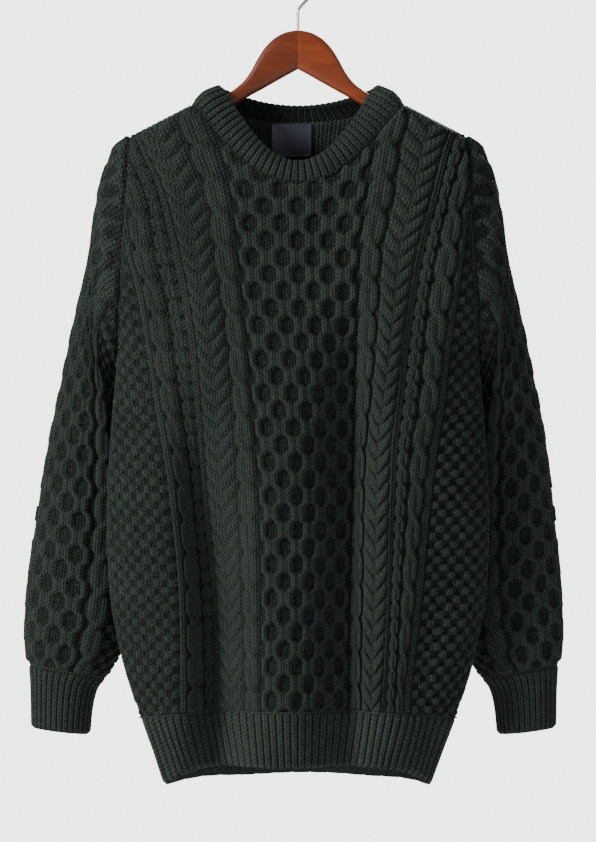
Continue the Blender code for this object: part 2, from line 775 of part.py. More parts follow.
def neck_edge(angle):
    """A point of the collar's folded edge."""
    front = math.sin(angle) >= 0
    rise = math.sin(angle) ** 2
    drop = COLLAR_FRONT_DROP * rise ** NECK_POWER if front else COLLAR_BACK_DROP * rise
    reach = COLLAR_FRONT_Y if front else COLLAR_BACK_Y
    x = COLLAR_EDGE_HALF * math.cos(angle)
    y = float(middle_y(x)) + (reach - float(middle_y(0.0))) * math.sqrt(rise)
    return np.array([x, y, COLLAR_EDGE_Z - drop])


def collar_point(angle, share, lift):
    """A point of the rib band: share runs from the seam to the fold, lift is out from its inner face."""
    step = 0.01
    seam = neck_seam(angle)
    edge = neck_edge(angle)
    up = edge - seam
    length = np.linalg.norm(up)
    along = (neck_seam(angle + step) + neck_edge(angle + step)
             - neck_seam(angle - step) - neck_edge(angle - step))
    outward = np.cross(up, along)
    outward /= np.linalg.norm(outward)
    start = COLLAR_START / length
    share = mix(start, 1.0, share)
    bulge = COLLAR_BULGE * math.sin(math.pi * share)
    return seam + up * share + outward * (lift + bulge)


def collar(name, material):
    """The folded rib band round the neck."""
    outer = []
    inner = []
    count = COLLAR_RIBS * 2
    for i in range(count):
        turn = i / count
        angle = 2 * math.pi * turn
        high = RIB_HIGH if i % 2 else 0.0
        rows = ((0.0, COLLAR_THICK), (0.35, COLLAR_THICK + high), (1.0, COLLAR_THICK * 0.8 + high))
        outer.append((turn, [(share, collar_point(angle, share, lift)) for share, lift in rows]))
        if i % 3 == 0 or i % 4 == 0:
            inner.append((turn, [(share, collar_point(angle, share, 0.0)) for share in (0.0, 0.5, 1.0)]))
    wall(name, outer, inner, True, material)


def label(name, material):
    """A thin woven label against the inside of the back."""
    faces = []
    for inset in (WALL + SEAM + LABEL_THICK, WALL + SEAM):
        columns = []
        for i in range(5):
            x = mix(LABEL_LEFT, LABEL_RIGHT, i / 4)
            column = []
            for z in (LABEL_BOTTOM, (LABEL_BOTTOM + LABEL_TOP) / 2, LABEL_TOP):
                u = x / (float(half_width(z)) - WALL)
                column.append((z, body_point(False, u, z, inset=inset)))
            columns.append((i / 4, column))
        faces.append(columns)
    wall(name, faces[0], faces[1], False, material)


# Hanger

def arm_section(x, top, bottom, half, side):
    """A rounded section of a wooden arm, as a ring of points."""
    middle = (top + bottom) / 2
    height = (top - bottom) / 2
    ring = []
    for i in range(ARM_SIDES):
        angle = 2 * math.pi * i / ARM_SIDES
        across = math.copysign(abs(math.sin(angle)) ** 0.75, math.sin(angle))
        up = math.copysign(abs(math.cos(angle)) ** 0.75, math.cos(angle))
        ring.append((side * x, float(middle_y(x)) + half * across, middle + height * up))
    return ring


def hanger_arm(name, side, material):
    """A shaped wooden arm: a loft through the sections of its table."""
    points = []
    faces = []
    for x, top, bottom, half in ARM:
        points += arm_section(x, top, bottom, half, side)
    for row in range(len(ARM) - 1):
        for i in range(ARM_SIDES):
            a = row * ARM_SIDES + i
            b = row * ARM_SIDES + (i + 1) % ARM_SIDES
            faces.append((a, b, b + ARM_SIDES, a + ARM_SIDES))
    faces.append(tuple(range(ARM_SIDES)))
    end = (len(ARM) - 1) * ARM_SIDES
    faces.append(tuple(range(end, end + ARM_SIDES)))
    make_object(name, points, faces, material)


def hook_route():
    """Points of the hook: an arc over the rail, a slanted run, and the stem down to the wood."""
    points = []
    count = HOOK_STEPS
    for i in range(count + 1):
        angle = mix(HOOK_START, HOOK_END, i / count)
        points.append((HOOK_RADIUS * math.cos(angle), HOOK_CENTRE_Z + HOOK_RADIUS * math.sin(angle)))
    x, z = points[-1]
    slant = x - (z - HOOK_BEND_Z)
    points.append((mix(x, slant, 0.8), mix(z, HOOK_BEND_Z, 0.8)))
    points.append((slant * 0.45, HOOK_BEND_Z - 0.0012))
    points.append((0.0, HOOK_BEND_Z - 0.0058))
    points.append((0.0, WOOD_TOP_Z + SEAM))
    return points


def hanger_hook(name, material):
    """The wire hook, as a curve with a round section."""
    curve = bpy.data.curves.new(name, "CURVE")
    curve.dimensions = "3D"
    curve.bevel_depth = WIRE_RADIUS
    curve.bevel_resolution = 2
    curve.use_fill_caps = True
    spline = curve.splines.new("POLY")
    route = hook_route()
    spline.points.add(len(route) - 1)
    for point, (x, z) in zip(spline.points, route):
        point.co = (x, 0.0, z, 1.0)
    curve.materials.append(material)
    place(bpy.data.objects.new(name, curve))


# Materials and the whole part

COLLECTION = "cable_sweater_on_hanger"


def finish(name, colour, roughness, metallic=0.0):
    """A plain Principled material."""
    material = bpy.data.materials.new(name)
    material.use_nodes = True
    shader = material.node_tree.nodes["Principled BSDF"]
    shader.inputs["Base Color"].default_value = (*colour, 1.0)
    shader.inputs["Roughness"].default_value = roughness
    shader.inputs["Metallic"].default_value = metallic
    return material


def main():
    for thing in list(bpy.data.objects):
        bpy.data.objects.remove(thing)
    collection = bpy.data.collections.new(COLLECTION)
    bpy.context.scene.collection.children.link(collection)

    wool = (0.022, 0.040, 0.034)
    panel("front", True, finish("front_wool", wool, 0.95))
    panel("back", False, finish("back_wool", wool, 0.95))
    hem("hem_front", True, finish("hem_front_wool", wool, 0.95))
    hem("hem_back", False, finish("hem_back_wool", wool, 0.95))
    for word, side in (("left", -1), ("right", 1)):
        sleeve("sleeve_" + word, side, finish("sleeve_" + word + "_wool", wool, 0.95))
        cuff("cuff_" + word, side, finish("cuff_" + word + "_wool", wool, 0.95))
        hanger_arm("hanger_arm_" + word, side, finish("arm_" + word + "_wood", (0.36, 0.12, 0.045), 0.4))
    collar("collar", finish("collar_wool", wool, 0.95))
    label("neck_label", finish("label_cloth", (0.02, 0.03, 0.055), 0.6))
    hanger_hook("hanger_hook", finish("hook_chrome", (0.62, 0.62, 0.62), 0.22, 1.0))


main()
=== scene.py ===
# %% [markdown]
# # A cable-knit sweater on a wooden hanger
# The solids give the size and the large forms. This script puts knitted cloth on them: thin walls
# with real cables, ribs and folds, then yarn, stitches, wood and wire as materials. It could all be
# one sculpted skin, but the sweater was knitted in pieces, so each piece is made and named by itself.

# %% Load the frame
import math

import bmesh
import bpy
import numpy as np
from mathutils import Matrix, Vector


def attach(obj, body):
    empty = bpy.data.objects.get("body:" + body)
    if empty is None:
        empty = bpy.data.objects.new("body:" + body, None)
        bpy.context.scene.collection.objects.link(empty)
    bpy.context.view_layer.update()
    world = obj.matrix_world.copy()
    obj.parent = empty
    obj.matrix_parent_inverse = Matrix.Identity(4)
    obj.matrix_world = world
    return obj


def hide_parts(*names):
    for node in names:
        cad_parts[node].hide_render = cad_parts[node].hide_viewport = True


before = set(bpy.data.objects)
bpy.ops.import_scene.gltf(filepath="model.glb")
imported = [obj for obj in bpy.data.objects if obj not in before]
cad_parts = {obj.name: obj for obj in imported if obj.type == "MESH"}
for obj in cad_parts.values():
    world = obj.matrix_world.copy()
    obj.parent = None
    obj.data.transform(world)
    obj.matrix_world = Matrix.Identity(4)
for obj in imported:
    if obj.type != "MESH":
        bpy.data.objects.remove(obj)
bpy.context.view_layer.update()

ROOT = "root"

# %% [markdown]
# ## Curves through a few measures
# A knitter's pattern gives a handful of measures. A smooth curve through them that never overshoots
# gives every height in between. These helpers work on whole arrays, so a fine mesh is quick to make.

# %% Helpers for curves


def mix(a, b, t):
    """The value a share t of the way from a to b."""
    return a + (b - a) * t


def ease(value, start, end):
    """Zero before start, one after end, smooth between."""
    t = np.clip((value - start) / (end - start), 0, 1)
    return t * t * (3 - 2 * t)


def smooth_through(keys, values, value):
    """A smooth curve through a few rising keys, with no overshoot."""
    keys = np.asarray(keys, float)
    values = np.asarray(values, float)
    steps = np.diff(keys)
    slopes = np.diff(values) / steps
    tangents = np.zeros(len(keys))
    tangents[0], tangents[-1] = slopes[0], slopes[-1]
    for i in range(1, len(keys) - 1):
        if slopes[i - 1] * slopes[i] > 0:
            tangents[i] = 2 * slopes[i - 1] * slopes[i] / (slopes[i - 1] + slopes[i])
    value = np.clip(value, keys[0], keys[-1])
    i = np.clip(np.searchsorted(keys, value, side="right") - 1, 0, len(keys) - 2)
    t = (value - keys[i]) / steps[i]
    return ((1 + 2 * t) * (1 - t) ** 2 * values[i] + t * (1 - t) ** 2 * steps[i] * tangents[i]
            + t * t * (3 - 2 * t) * values[i + 1] + t * t * (t - 1) * steps[i] * tangents[i + 1])


def table(rows, column, value):
    """Read one column of a table at a value of its first column."""
    rows = sorted(rows)
    return smooth_through([row[0] for row in rows], [row[column] for row in rows], value)


print("half way:", table(((0, 0), (1, 2), (2, 3)), 1, 0.5))

# %% [markdown]
# ## The body's form
# Front and back hang from the hanger and bulge round an empty inside. Long folds run down them,
# where the heavy knit sags between the shoulders and the tight rib. A cloth simulation could find
# such folds, but the photograph's own folds are wanted, so each is one row of a table. A section's
# length is measured too, because the knitted strips keep their width along the cloth.

# %% Measures of the body
CENTRE_X = 0.004
NECK_HALF = 0.108
SHOULDER_TOP = -0.1455
SHOULDER_HALF = 0.170
SHOULDER_SLOPE = 0.53
SHOULDER_ROLL = 0.009
UNDERARM_Z = -0.398
UNDERARM_HALF = 0.184
ARMHOLE_DEPTH = 0.034
FRONT_NECK_DROP = 0.0803
BACK_NECK_DROP = 0.016
NECK_POWER = 1.15
SWEEP_FORWARD = 0.012
SHOULDER_TIP_Z = SHOULDER_TOP - SHOULDER_SLOPE * (SHOULDER_HALF - NECK_HALF)
SIDE_POWER = 0.78
SEAM = 0.0003
HEM_TOP = -0.766
HEM_TOP_SIDE = 0.009
FRONT_HEM_BOTTOM = -0.8225
BACK_HEM_BOTTOM = -0.8385
HEM_SIDE_BOTTOM = -0.8445

BODY = (
    # z, half, front, back, power
    (-0.140, 0.170, 0.024, 0.023, 5.0), (-0.178, 0.170, 0.030, 0.027, 4.6),
    (-0.226, 0.1731, 0.042, 0.036, 3.6), (-0.300, 0.1778, 0.053, 0.046, 2.9),
    (-0.398, 0.184, 0.061, 0.053, 2.4), (-0.480, 0.191, 0.064, 0.057, 2.3),
    (-0.570, 0.1955, 0.065, 0.060, 2.3), (-0.640, 0.193, 0.066, 0.062, 2.3),
    (-0.710, 0.181, 0.066, 0.063, 2.4), (-0.770, 0.163, 0.064, 0.062, 2.5),
    (-0.850, 0.1345, 0.060, 0.060, 2.6),
)
FRONT_FOLDS = (
    # x_top, x_hem, z_start, z_full, left, right, depth
    (0.060, 0.058, -0.230, -0.520, 0.040, 0.024, 0.024),
    (-0.112, -0.086, -0.360, -0.640, 0.026, 0.040, 0.027),
    (0.135, 0.118, -0.560, -0.760, 0.022, 0.022, 0.006),
    (-0.099, -0.084, -0.400, -0.600, 0.022, 0.030, 0.017),
    (0.0570, 0.0515, -0.300, -0.520, 0.030, 0.010, 0.012),
)
BACK_FOLDS = (
    (-0.055, -0.060, -0.260, -0.560, 0.030, 0.038, 0.020),
    (0.088, 0.080, -0.330, -0.620, 0.036, 0.028, 0.023),
    (-0.135, -0.122, -0.520, -0.740, 0.020, 0.022, 0.007),
)
STRIP_SCALE = (
    # z, how wide a strip hangs for each metre knitted
    (-0.140, 0.98), (-0.300, 1.0), (-0.620, 1.0), (-0.700, 0.96), (-0.775, 0.86), (-0.850, 0.76),
)

# %% The body as functions


def half_width(z):
    """Half the body's width: the armhole plane above the underarm, the table below it."""
    share = np.clip((SHOULDER_TIP_Z - z) / (SHOULDER_TIP_Z - UNDERARM_Z), 0, 1)
    return np.where(z > UNDERARM_Z, mix(SHOULDER_HALF, UNDERARM_HALF, share), table(BODY, 1, z))


def armhole_half(z):
    """Half the front-to-back width of the armhole at a height, as a pointed arch."""
    middle = (SHOULDER_TIP_Z + UNDERARM_Z) / 2
    reach = (SHOULDER_TIP_Z - UNDERARM_Z) / 2
    return ARMHOLE_DEPTH * np.clip(1 - ((z - middle) / reach) ** 2, 0, 1)


def ridge_z(x):
    """Height of the shoulder seam, level across the neck."""
    return SHOULDER_TOP - SHOULDER_SLOPE * np.clip(np.abs(x) - NECK_HALF, 0, None)


def middle_y(x):
    """The plane between front and back, brought forward at the shoulder tips."""
    return -SWEEP_FORWARD * np.clip(np.abs(x) / SHOULDER_HALF, 0, 1) ** 2


def top_z(front, x):
    """Upper edge of a panel: the neck curve in the middle and the shoulder seam beside it."""
    drop = FRONT_NECK_DROP if front else BACK_NECK_DROP
    scoop = np.clip(1 - (x / NECK_HALF) ** 2, 0, 1) ** NECK_POWER
    return ridge_z(x) - drop * scoop


def hem_top_z(u):
    return HEM_TOP - HEM_TOP_SIDE * np.abs(u) ** 3


def hem_bottom_z(front, u):
    middle = FRONT_HEM_BOTTOM if front else BACK_HEM_BOTTOM
    return mix(middle, HEM_SIDE_BOTTOM, np.abs(u) ** 5)


def fold_depth(front, x, z):
    """How far the long folds pull the cloth in at a place."""
    total = 0.0
    for x_top, x_hem, z_start, z_full, left, right, depth in (FRONT_FOLDS if front else BACK_FOLDS):
        place = mix(x_top, x_hem, ease(-z, -z_start, -HEM_TOP))
        width = np.where(x < place, left, right)
        total = total + depth * ease(-z, -z_start, -z_full) * np.exp(-((x - place) / width) ** 2)
    return total


def body_point(front, u, z, inset=0.0, rolled=True):
    """Points of the front or back: u runs from -1 to 1 between the sides, inset goes inwards."""
    half = half_width(z) - inset
    x = u * half
    depth = table(BODY, 2 if front else 3, z) - inset
    edge = np.clip(armhole_half(z) - inset, 0, None)
    bow = np.clip(1 - np.abs(u) ** table(BODY, 4, z), 0, None) ** SIDE_POWER
    if rolled:
        over = np.clip((ridge_z(x) - inset - z) / SHOULDER_ROLL, 0, 1)
        depth = depth * np.sqrt(1 - (1 - over) ** 2)
    out = edge + (depth - edge) * bow - fold_depth(front, x, z) * bow + SEAM / 2
    return np.stack(np.broadcast_arrays(x, middle_y(x) + (-out if front else out), z), axis=-1)


print("half width at the chest:", round(float(half_width(np.array(-0.4))), 4))

# %% [markdown]
# ## Cables, honeycomb and basket stitch
# A cable is made by crossing groups of stitches, so the crossed group stands a few millimetres
# proud. Each stitch pattern here is a small function that gives a height from 0 to 1 for a place
# across its strip and up its repeat. The same functions serve body and sleeves. Modelling every
# loop of yarn would take millions of faces, and a bump map alone would leave the outline flat.

# %% Stitch patterns


def rounded(distance):
    """The section of a round strand: 1 on its middle line, 0 at distance 1 and beyond."""
    return np.sqrt(np.clip(1 - distance * distance, 0, None))


ROPE_SWING = 0.43            # how far a strand's middle goes to each side, of half the rope
ROPE_STRAND = 0.56           # half a strand's width, likewise
ROPE_FILL = 0.94             # share of its strip that a rope fills


def rope(across, up, lean=1.0):
    """Two strands that change sides once a repeat; across runs from -1 to 1."""
    turn = up % 1.0
    swing = lean * ROPE_SWING * (2 * ease(turn, 0.24, 0.76) - 1)
    over = rounded((across - swing) / ROPE_STRAND)
    dip = 1 - 0.5 * np.exp(-((turn - 0.5) / 0.2) ** 2)
    return np.maximum(over, rounded((across + swing) / ROPE_STRAND) * dip)


def chevron(across, up):
    """Horns that rise from the middle line to both sides, one pair a repeat."""
    away = np.abs(across)
    place = (up - 1.05 * away ** 1.25) % 1.0
    horn = np.clip(1 - np.abs(2 * place - 1) ** 2.2, 0, None) ** 0.8
    groove = 1 - 0.25 * np.exp(-(away / 0.1) ** 2)
    return (0.10 + 0.90 * horn) * np.clip(1 - away ** 5, 0, None) * groove


def twin_rib(across, up):
    """Two single columns of stitches with a groove between them."""
    return np.abs(np.sin(np.pi * (across + 1))) ** 0.8


HONEY_SWING = 0.122          # how far a strand bends to each side, in cells
HONEY_STRAND = 0.157         # half a strand's width, in cells


def honeycomb(across, up):
    """Strands that bend together and apart by turns, across and up counted in cells."""
    wave = np.clip(1.55 * np.cos(2 * np.pi * up), -1, 1)
    wave = np.sin(wave * np.pi / 2)
    height = np.zeros(np.broadcast(across, up).shape)
    first = np.floor(2 * across)
    for step in (-2, -1, 0, 1):
        strand = first + step
        sign = np.where(strand % 2 == 0, 1.0, -1.0)
        centre = (strand + 0.5) / 2 + sign * HONEY_SWING * wave
        height = np.maximum(height, rounded((across - centre) / HONEY_STRAND))
    return height


def basket(across, up):
    """Small raised blocks in a chequer, across and up counted in blocks."""
    return ease(np.sin(np.pi * across) * np.sin(np.pi * up), -0.22, 0.30)


def ribs(place):
    """Round ribs with narrow grooves, one to each whole number."""
    return np.clip(1 - np.abs(2 * (place % 1.0) - 1) ** 2.6, 0, None)


CELL_WIDTH = 0.028
CELL_LENGTH = 0.0345
CELLS_ACROSS = 4
CELL_HIGH = 0.0044
STRIPS = (
    # pattern, width, repeat, height
    (rope, 0.021, 0.0345, 0.0046),
    (chevron, 0.032, 0.0170, 0.0052),
    (twin_rib, 0.008, 1.0, 0.0028),
    (rope, 0.016, 0.0170, 0.0040),
    (rope, 0.023, 0.0345, 0.0048),
    (twin_rib, 0.008, 1.0, 0.0028),
)
BASKET_WIDTH = 0.0085
BASKET_HEIGHT = 0.0080
BASKET_HIGH = 0.0028
BASKET_FULL = 0.030          # the basket stitch has its full height where it is this wide
SIDE_FADE = 0.006            # its relief dies out over this length at the side
COUNT_FROM = -0.150          # repeats are counted down from this height
SEAM_FADE = 0.006            # the relief dies out over this length at a seam
HEM_FADE = 0.003             # and over this one at the hem, where the cables run into the rib
STRIPS_EDGE = CELLS_ACROSS * CELL_WIDTH / 2 + sum(strip[1] for strip in STRIPS)


def panel_relief(s, z, limit):
    """Height of the knit at a knitted distance s from the middle line, at height z."""
    away = np.abs(s)
    lean = np.where(s < 0, -1.0, 1.0)
    down = COUNT_FROM - z
    edge = CELLS_ACROSS * CELL_WIDTH / 2
    border = ease(edge - away, 0.0, 0.004)
    cells = honeycomb(s / CELL_WIDTH, down / CELL_LENGTH)
    height = np.where(away < edge, CELL_HIGH * border * cells, 0.0)
    for pattern, width, repeat, high in STRIPS:
        across = (away - edge - width / 2) / (width / 2)
        inside = np.abs(across) < 1
        if pattern is rope:
            lump = rope(across / ROPE_FILL, -z / repeat, lean)
        else:
            lump = pattern(across, z / repeat)
        height = np.where(inside, high * lump, height)
        edge += width
    check = basket((away - edge) / BASKET_WIDTH, z / BASKET_HEIGHT)
    flat = np.clip((limit - edge) / BASKET_FULL, 0.5, 1)
    return np.where(away > edge, BASKET_HIGH * flat * check * ease(limit - away, 0, SIDE_FADE), height)


print("strips end", round(STRIPS_EDGE * 1000), "mm from the middle line")

# %% [markdown]
# ## Thin walls from a grid
# Cloth has two faces. The outer one carries the knit, so it is a fine grid. The inner one is plain
# and far coarser, and rims of triangles close the wall between them. The Solidify modifier would
# copy every fine point to the inside, where nobody sees it, and double the triangles.

# %% Wall builder
WALE = 0.0056                # width of one stitch
COURSE = 0.0039              # height of one row of stitches
WALL = 0.0024                # thickness of the knitted cloth between its cables
INSIDE_STEP = 6              # the plain inside keeps every sixth row and column
INSIDE_RAISED = 0.4          # the inside is coloured, painted shade included, like knit of this share of the full relief


def zip_rim(faces, left, right):
    """Triangles between two edges, each a list of (key, vertex) with rising keys."""
    i = j = 0
    while i < len(left) - 1 or j < len(right) - 1:
        step_left = left[i][0] + left[i + 1][0] if i < len(left) - 1 else math.inf
        step_right = right[j][0] + right[j + 1][0] if j < len(right) - 1 else math.inf
        if step_left <= step_right:
            faces.append((left[i][1], left[i + 1][1], right[j][1]))
            i += 1
        else:
            faces.append((left[i][1], right[j + 1][1], right[j][1]))
            j += 1


def thinned(count, step):
    """Every step-th number below count, with the last one."""
    return sorted(set(range(0, count, step)) | {count - 1})


def grid_quads(index, closed):
    """Quads of a grid of vertex numbers; closed joins its last column to its first."""
    if closed:
        index = np.concatenate([index, index[:, :1]], axis=1)
    quads = np.stack([index[:-1, :-1], index[:-1, 1:], index[1:, 1:], index[1:, :-1]], axis=-1)
    return [tuple(quad) for quad in quads.reshape(-1, 4).tolist()]


def new_piece(name, points, faces, across=None, up=None, lift=None):
    """A smooth mesh piece that faces outwards, with its knitted place as a UV map."""
    mesh = bpy.data.meshes.new(name)
    mesh.from_pydata(np.asarray(points, float).tolist(), [], faces)
    form = bmesh.new()
    form.from_mesh(mesh)
    bmesh.ops.recalc_face_normals(form, faces=form.faces)
    if form.calc_volume(signed=True) < 0:
        bmesh.ops.reverse_faces(form, faces=form.faces)
    form.to_mesh(mesh)
    form.free()
    mesh.shade_smooth()
    if across is not None:
        layer = mesh.uv_layers.new(name="knit")
        corner = np.zeros(len(mesh.loops), dtype=np.int64)
        mesh.loops.foreach_get("vertex_index", corner)
        layer.data.foreach_set("uv", np.stack([across[corner], up[corner]], axis=-1).ravel())
        raised = mesh.attributes.new("raised", "FLOAT", "POINT")
        raised.data.foreach_set("value", np.asarray(lift, float))
    piece = bpy.data.objects.new(name, mesh)
    bpy.context.scene.collection.objects.link(piece)
    return piece


def cloth_wall(name, outer, inner, across, up, lift, closed=False):
    """A closed wall: outer is a fine grid of points and inner gives the same grid moved inwards."""
    rows, columns = outer.shape[:2]
    keep_rows = thinned(rows, INSIDE_STEP)
    keep_columns = list(range(0, columns, INSIDE_STEP)) if closed else thinned(columns, INSIDE_STEP)
    inner = inner[np.ix_(keep_rows, keep_columns)]
    outside = np.arange(rows * columns).reshape(rows, columns)
    inside = rows * columns + np.arange(len(keep_rows) * len(keep_columns)).reshape(len(keep_rows), -1)
    faces = grid_quads(outside, closed) + [quad[::-1] for quad in grid_quads(inside, closed)]
    for end in (0, -1):
        left = list(zip(range(columns), outside[end].tolist()))
        right = list(zip(keep_columns, inside[end].tolist()))
        if closed:
            left.append((columns, left[0][1]))
            right.append((columns, right[0][1]))
        zip_rim(faces, left, right)
    if not closed:
        for side in (0, -1):
            zip_rim(faces, list(zip(range(rows), outside[:, side].tolist())),
                    list(zip(keep_rows, inside[:, side].tolist())))
    pick = np.ix_(keep_rows, keep_columns)
    both = [np.concatenate([part.ravel(), part[pick].ravel()]) for part in (across, up, lift)]
    both[2][rows * columns:] = INSIDE_RAISED
    points = np.concatenate([outer.reshape(-1, 3), inner.reshape(-1, 3)])
    piece = new_piece(name, points, faces, *both)
    print(name, len(piece.data.polygons), "faces")
    return piece


# %% [markdown]
# ## Front and back
# On the real sweater each is one knitted panel, cast on at the hem. The grid's columns follow the
# knitted strips, so that every cable keeps its width along the folded cloth, and its rows run from
# the rib to the neck and the shoulders.

# %% Panels
STRIP_STEP = 0.00171         # distance between two columns of the grid
SIDE_COLUMNS = 32            # columns of each side panel
PANEL_ROWS = 322
SECTION_U = np.sin(np.linspace(-np.pi / 2, np.pi / 2, 481))
LEVELS = np.linspace(-0.862, -0.138, 242)


def section_places(front):
    """For each level, the knitted distance of every SECTION_U from the middle line."""
    places = []
    for z in LEVELS:
        x, y, _ = body_point(front, SECTION_U, z, rolled=False).T
        lengths = np.concatenate(([0.0], np.cumsum(np.hypot(np.diff(x), np.diff(y)))))
        middle = np.interp(CENTRE_X if front else 0.0, x, lengths)
        places.append((lengths - middle) / table(STRIP_SCALE, 1, z))
    return np.array(places)


STRIP_LINES = (
    # z, then where the edges between the strips hang: the left side's, then the right side's
    (-0.156, -0.2168, -0.2087, -0.1884, -0.1752, -0.1692, -0.1246, -0.0942,
     0.0871, 0.1124, 0.1601, 0.1671, 0.1803, 0.1985, 0.2067),
    (-0.196, -0.2006, -0.1925, -0.1722, -0.1580, -0.1530, -0.1104, -0.0790,
     0.0760, 0.1023, 0.1459, 0.1530, 0.1661, 0.1844, 0.1925),
    (-0.247, -0.1813, -0.1732, -0.1509, -0.1388, -0.1312, -0.0922, -0.0669,
     0.0679, 0.0952, 0.1327, 0.1398, 0.1499, 0.1671, 0.1742),
    (-0.298, -0.1732, -0.1671, -0.1438, -0.1276, -0.1195, -0.0851, -0.0608,
     0.0618, 0.0846, 0.1190, 0.1266, 0.1388, 0.1611, 0.1671),
    (-0.348, -0.1611, -0.1530, -0.1327, -0.1175, -0.1094, -0.0770, -0.0562,
     0.0603, 0.0815, 0.1109, 0.1185, 0.1307, 0.1535, 0.1601),
    (-0.399, -0.1530, -0.1469, -0.1246, -0.1084, -0.1013, -0.0709, -0.0507,
     0.0588, 0.0775, 0.1043, 0.1114, 0.1256, 0.1459, 0.1540),
    (-0.450, -0.1459, -0.1383, -0.1175, -0.1043, -0.0978, -0.0658, -0.0466,
     0.0577, 0.0734, 0.0988, 0.1054, 0.1200, 0.1413, 0.1489),
    (-0.500, -0.1368, -0.1287, -0.1114, -0.1003, -0.0952, -0.0628, -0.0425,
     0.0567, 0.0689, 0.0927, 0.0993, 0.1119, 0.1322, 0.1408),
    (-0.551, -0.1297, -0.1216, -0.1064, -0.0972, -0.0917, -0.0608, -0.0395,
     0.0557, 0.0669, 0.0912, 0.0972, 0.1094, 0.1261, 0.1347),
    (-0.652, -0.1205, -0.1135, -0.0972, -0.0881, -0.0831, -0.0557, -0.0375,
     0.0527, 0.0648, 0.0891, 0.0932, 0.1023, 0.1165, 0.1246),
    (-0.754, -0.1185, -0.1114, -0.0952, -0.0861, -0.0800, -0.0537, -0.0375,
     0.0517, 0.0638, 0.0841, 0.0891, 0.0972, 0.1054, 0.1135),
)
EDGE_PLACES = np.cumsum([CELLS_ACROSS * CELL_WIDTH / 2] + [strip[1] for strip in STRIPS])
LINE_PLACES = np.concatenate([-EDGE_PLACES[::-1], EDGE_PLACES])
CUT_ROOM = 0.004             # strips that run into the armhole leave this much for the side panel
TOP_GUESS = -0.2             # the search for a column's upper end starts at this height


def strip_places(places):
    """For each level, where the strips' edges lie, counted like the section's places."""
    keys, *edges = zip(*STRIP_LINES)
    keys = [-z for z in keys]
    result = []
    for z, place in zip(LEVELS, places):
        x = SECTION_U * half_width(z)
        lines = np.array([float(smooth_through(keys, edge, -z)) for edge in edges])
        scale = (place[-1] - place[0]) / (x[-1] - x[0])
        left = np.where(lines < x[0], lines - x[0], 0) * scale
        right = np.where(lines > x[-1], lines - x[-1], 0) * scale
        result.append(np.interp(lines, x, place) + (left + right))
    return np.array(result)


def squeeze(at, limit):
    """Places pressed together at the outside, so that the last one keeps clear of the limit."""
    start = 0.6 * limit
    end = limit - CUT_ROOM
    if at[-1] <= end:
        return at
    return np.where(at > start, start + (at - start) * (end - start) / (at[-1] - start), at)


def drape(s, z):
    """A slight unevenness of hanging wool."""
    return 0.0007 * np.sin(41 * s + 9 * z + 0.6) * np.sin(23 * z - 11 * s + 1.1) \
        + 0.0005 * np.sin(97 * s - 31 * z)


def panel_cloth(name, front):
    """One knitted panel as a closed wall."""
    places = section_places(front)
    half = round(STRIPS_EDGE / STRIP_STEP)
    middle = np.linspace(-STRIPS_EDGE, STRIPS_EDGE, 2 * half + 1)
    shares = np.linspace(0, 1, SIDE_COLUMNS + 1)[1:]
    lines = strip_places(places)
    s, knit = [], []
    for place, line in zip(places, lines):
        at = np.interp(middle, LINE_PLACES, line)
        at = -squeeze(-at[::-1], -place[0])[::-1]
        at = squeeze(at, place[-1])
        at = np.concatenate([mix(at[0], place[0], shares[::-1]), at, mix(at[-1], place[-1], shares)])
        s.append(at)
        knit.append(np.interp(at, line, LINE_PLACES)
                    + np.minimum(at - line[0], 0) + np.maximum(at - line[-1], 0))
    s, knit = np.array(s), np.array(knit)
    u = np.array([np.interp(row, place, SECTION_U) for row, place in zip(s, places)])
    count = s.shape[1]

    def read(values, z):
        return np.array([np.interp(z[..., c], LEVELS, values[:, c]) for c in range(count)]).T

    top = np.full(count, TOP_GUESS)
    bottom = np.full(count, HEM_TOP)
    for _ in range(16):
        at = read(u, top[None])[0]
        top = top_z(front, at * half_width(top))
        bottom = hem_top_z(read(u, bottom[None])[0]) + SEAM / 2
    z = mix(bottom, top, np.linspace(0, 1, PANEL_ROWS)[:, None])
    place_u, place_s = read(u, z), read(s, z)
    place_knit = read(knit, z)
    limit = np.where(place_s < 0, -np.interp(z, LEVELS, knit[:, 0]), np.interp(z, LEVELS, knit[:, -1]))
    fade = ease(z, bottom, bottom + HEM_FADE) * ease(top - z, 0.001, SEAM_FADE)
    fade = fade * ease(limit - np.abs(place_knit), 0, 0.004)
    lift = panel_relief(place_knit, z, limit) * fade
    soft = fade * ease(limit - np.abs(place_knit), 0, 0.02)
    outer = body_point(front, place_u, z, inset=-(lift + drape(place_s, z) * soft))
    inner = body_point(front, place_u, z, inset=WALL)
    return cloth_wall(name, outer, inner, place_knit, z, lift / CELL_HIGH)


front_cloth = panel_cloth("front_cloth", True)
back_cloth = panel_cloth("back_cloth", False)

# %% [markdown]
# ## Rib bands at the hem
# Knit and purl columns by turns pull a band together, so it grips. Its ribs are ridges that run
# from top to bottom. Eight columns of points for each rib make them round, with a narrow groove.

# %% Hem bands
HEM_RIBS = 44
RIB_POINTS = 8
RIB_HIGH = 0.0026
HEM_ROWS = 26
HEM_LAP = 0.0012             # the band's upper edge is tucked under the body's last course
HEM_TUCK = 0.0012            # and lies this far inside it
HEM_CURL = 0.0012            # the lower edge turns in by this much
HEM_SWAY = 0.0009
HEM_SCALLOP = 0.0006         # each rib reaches this much lower than its groove


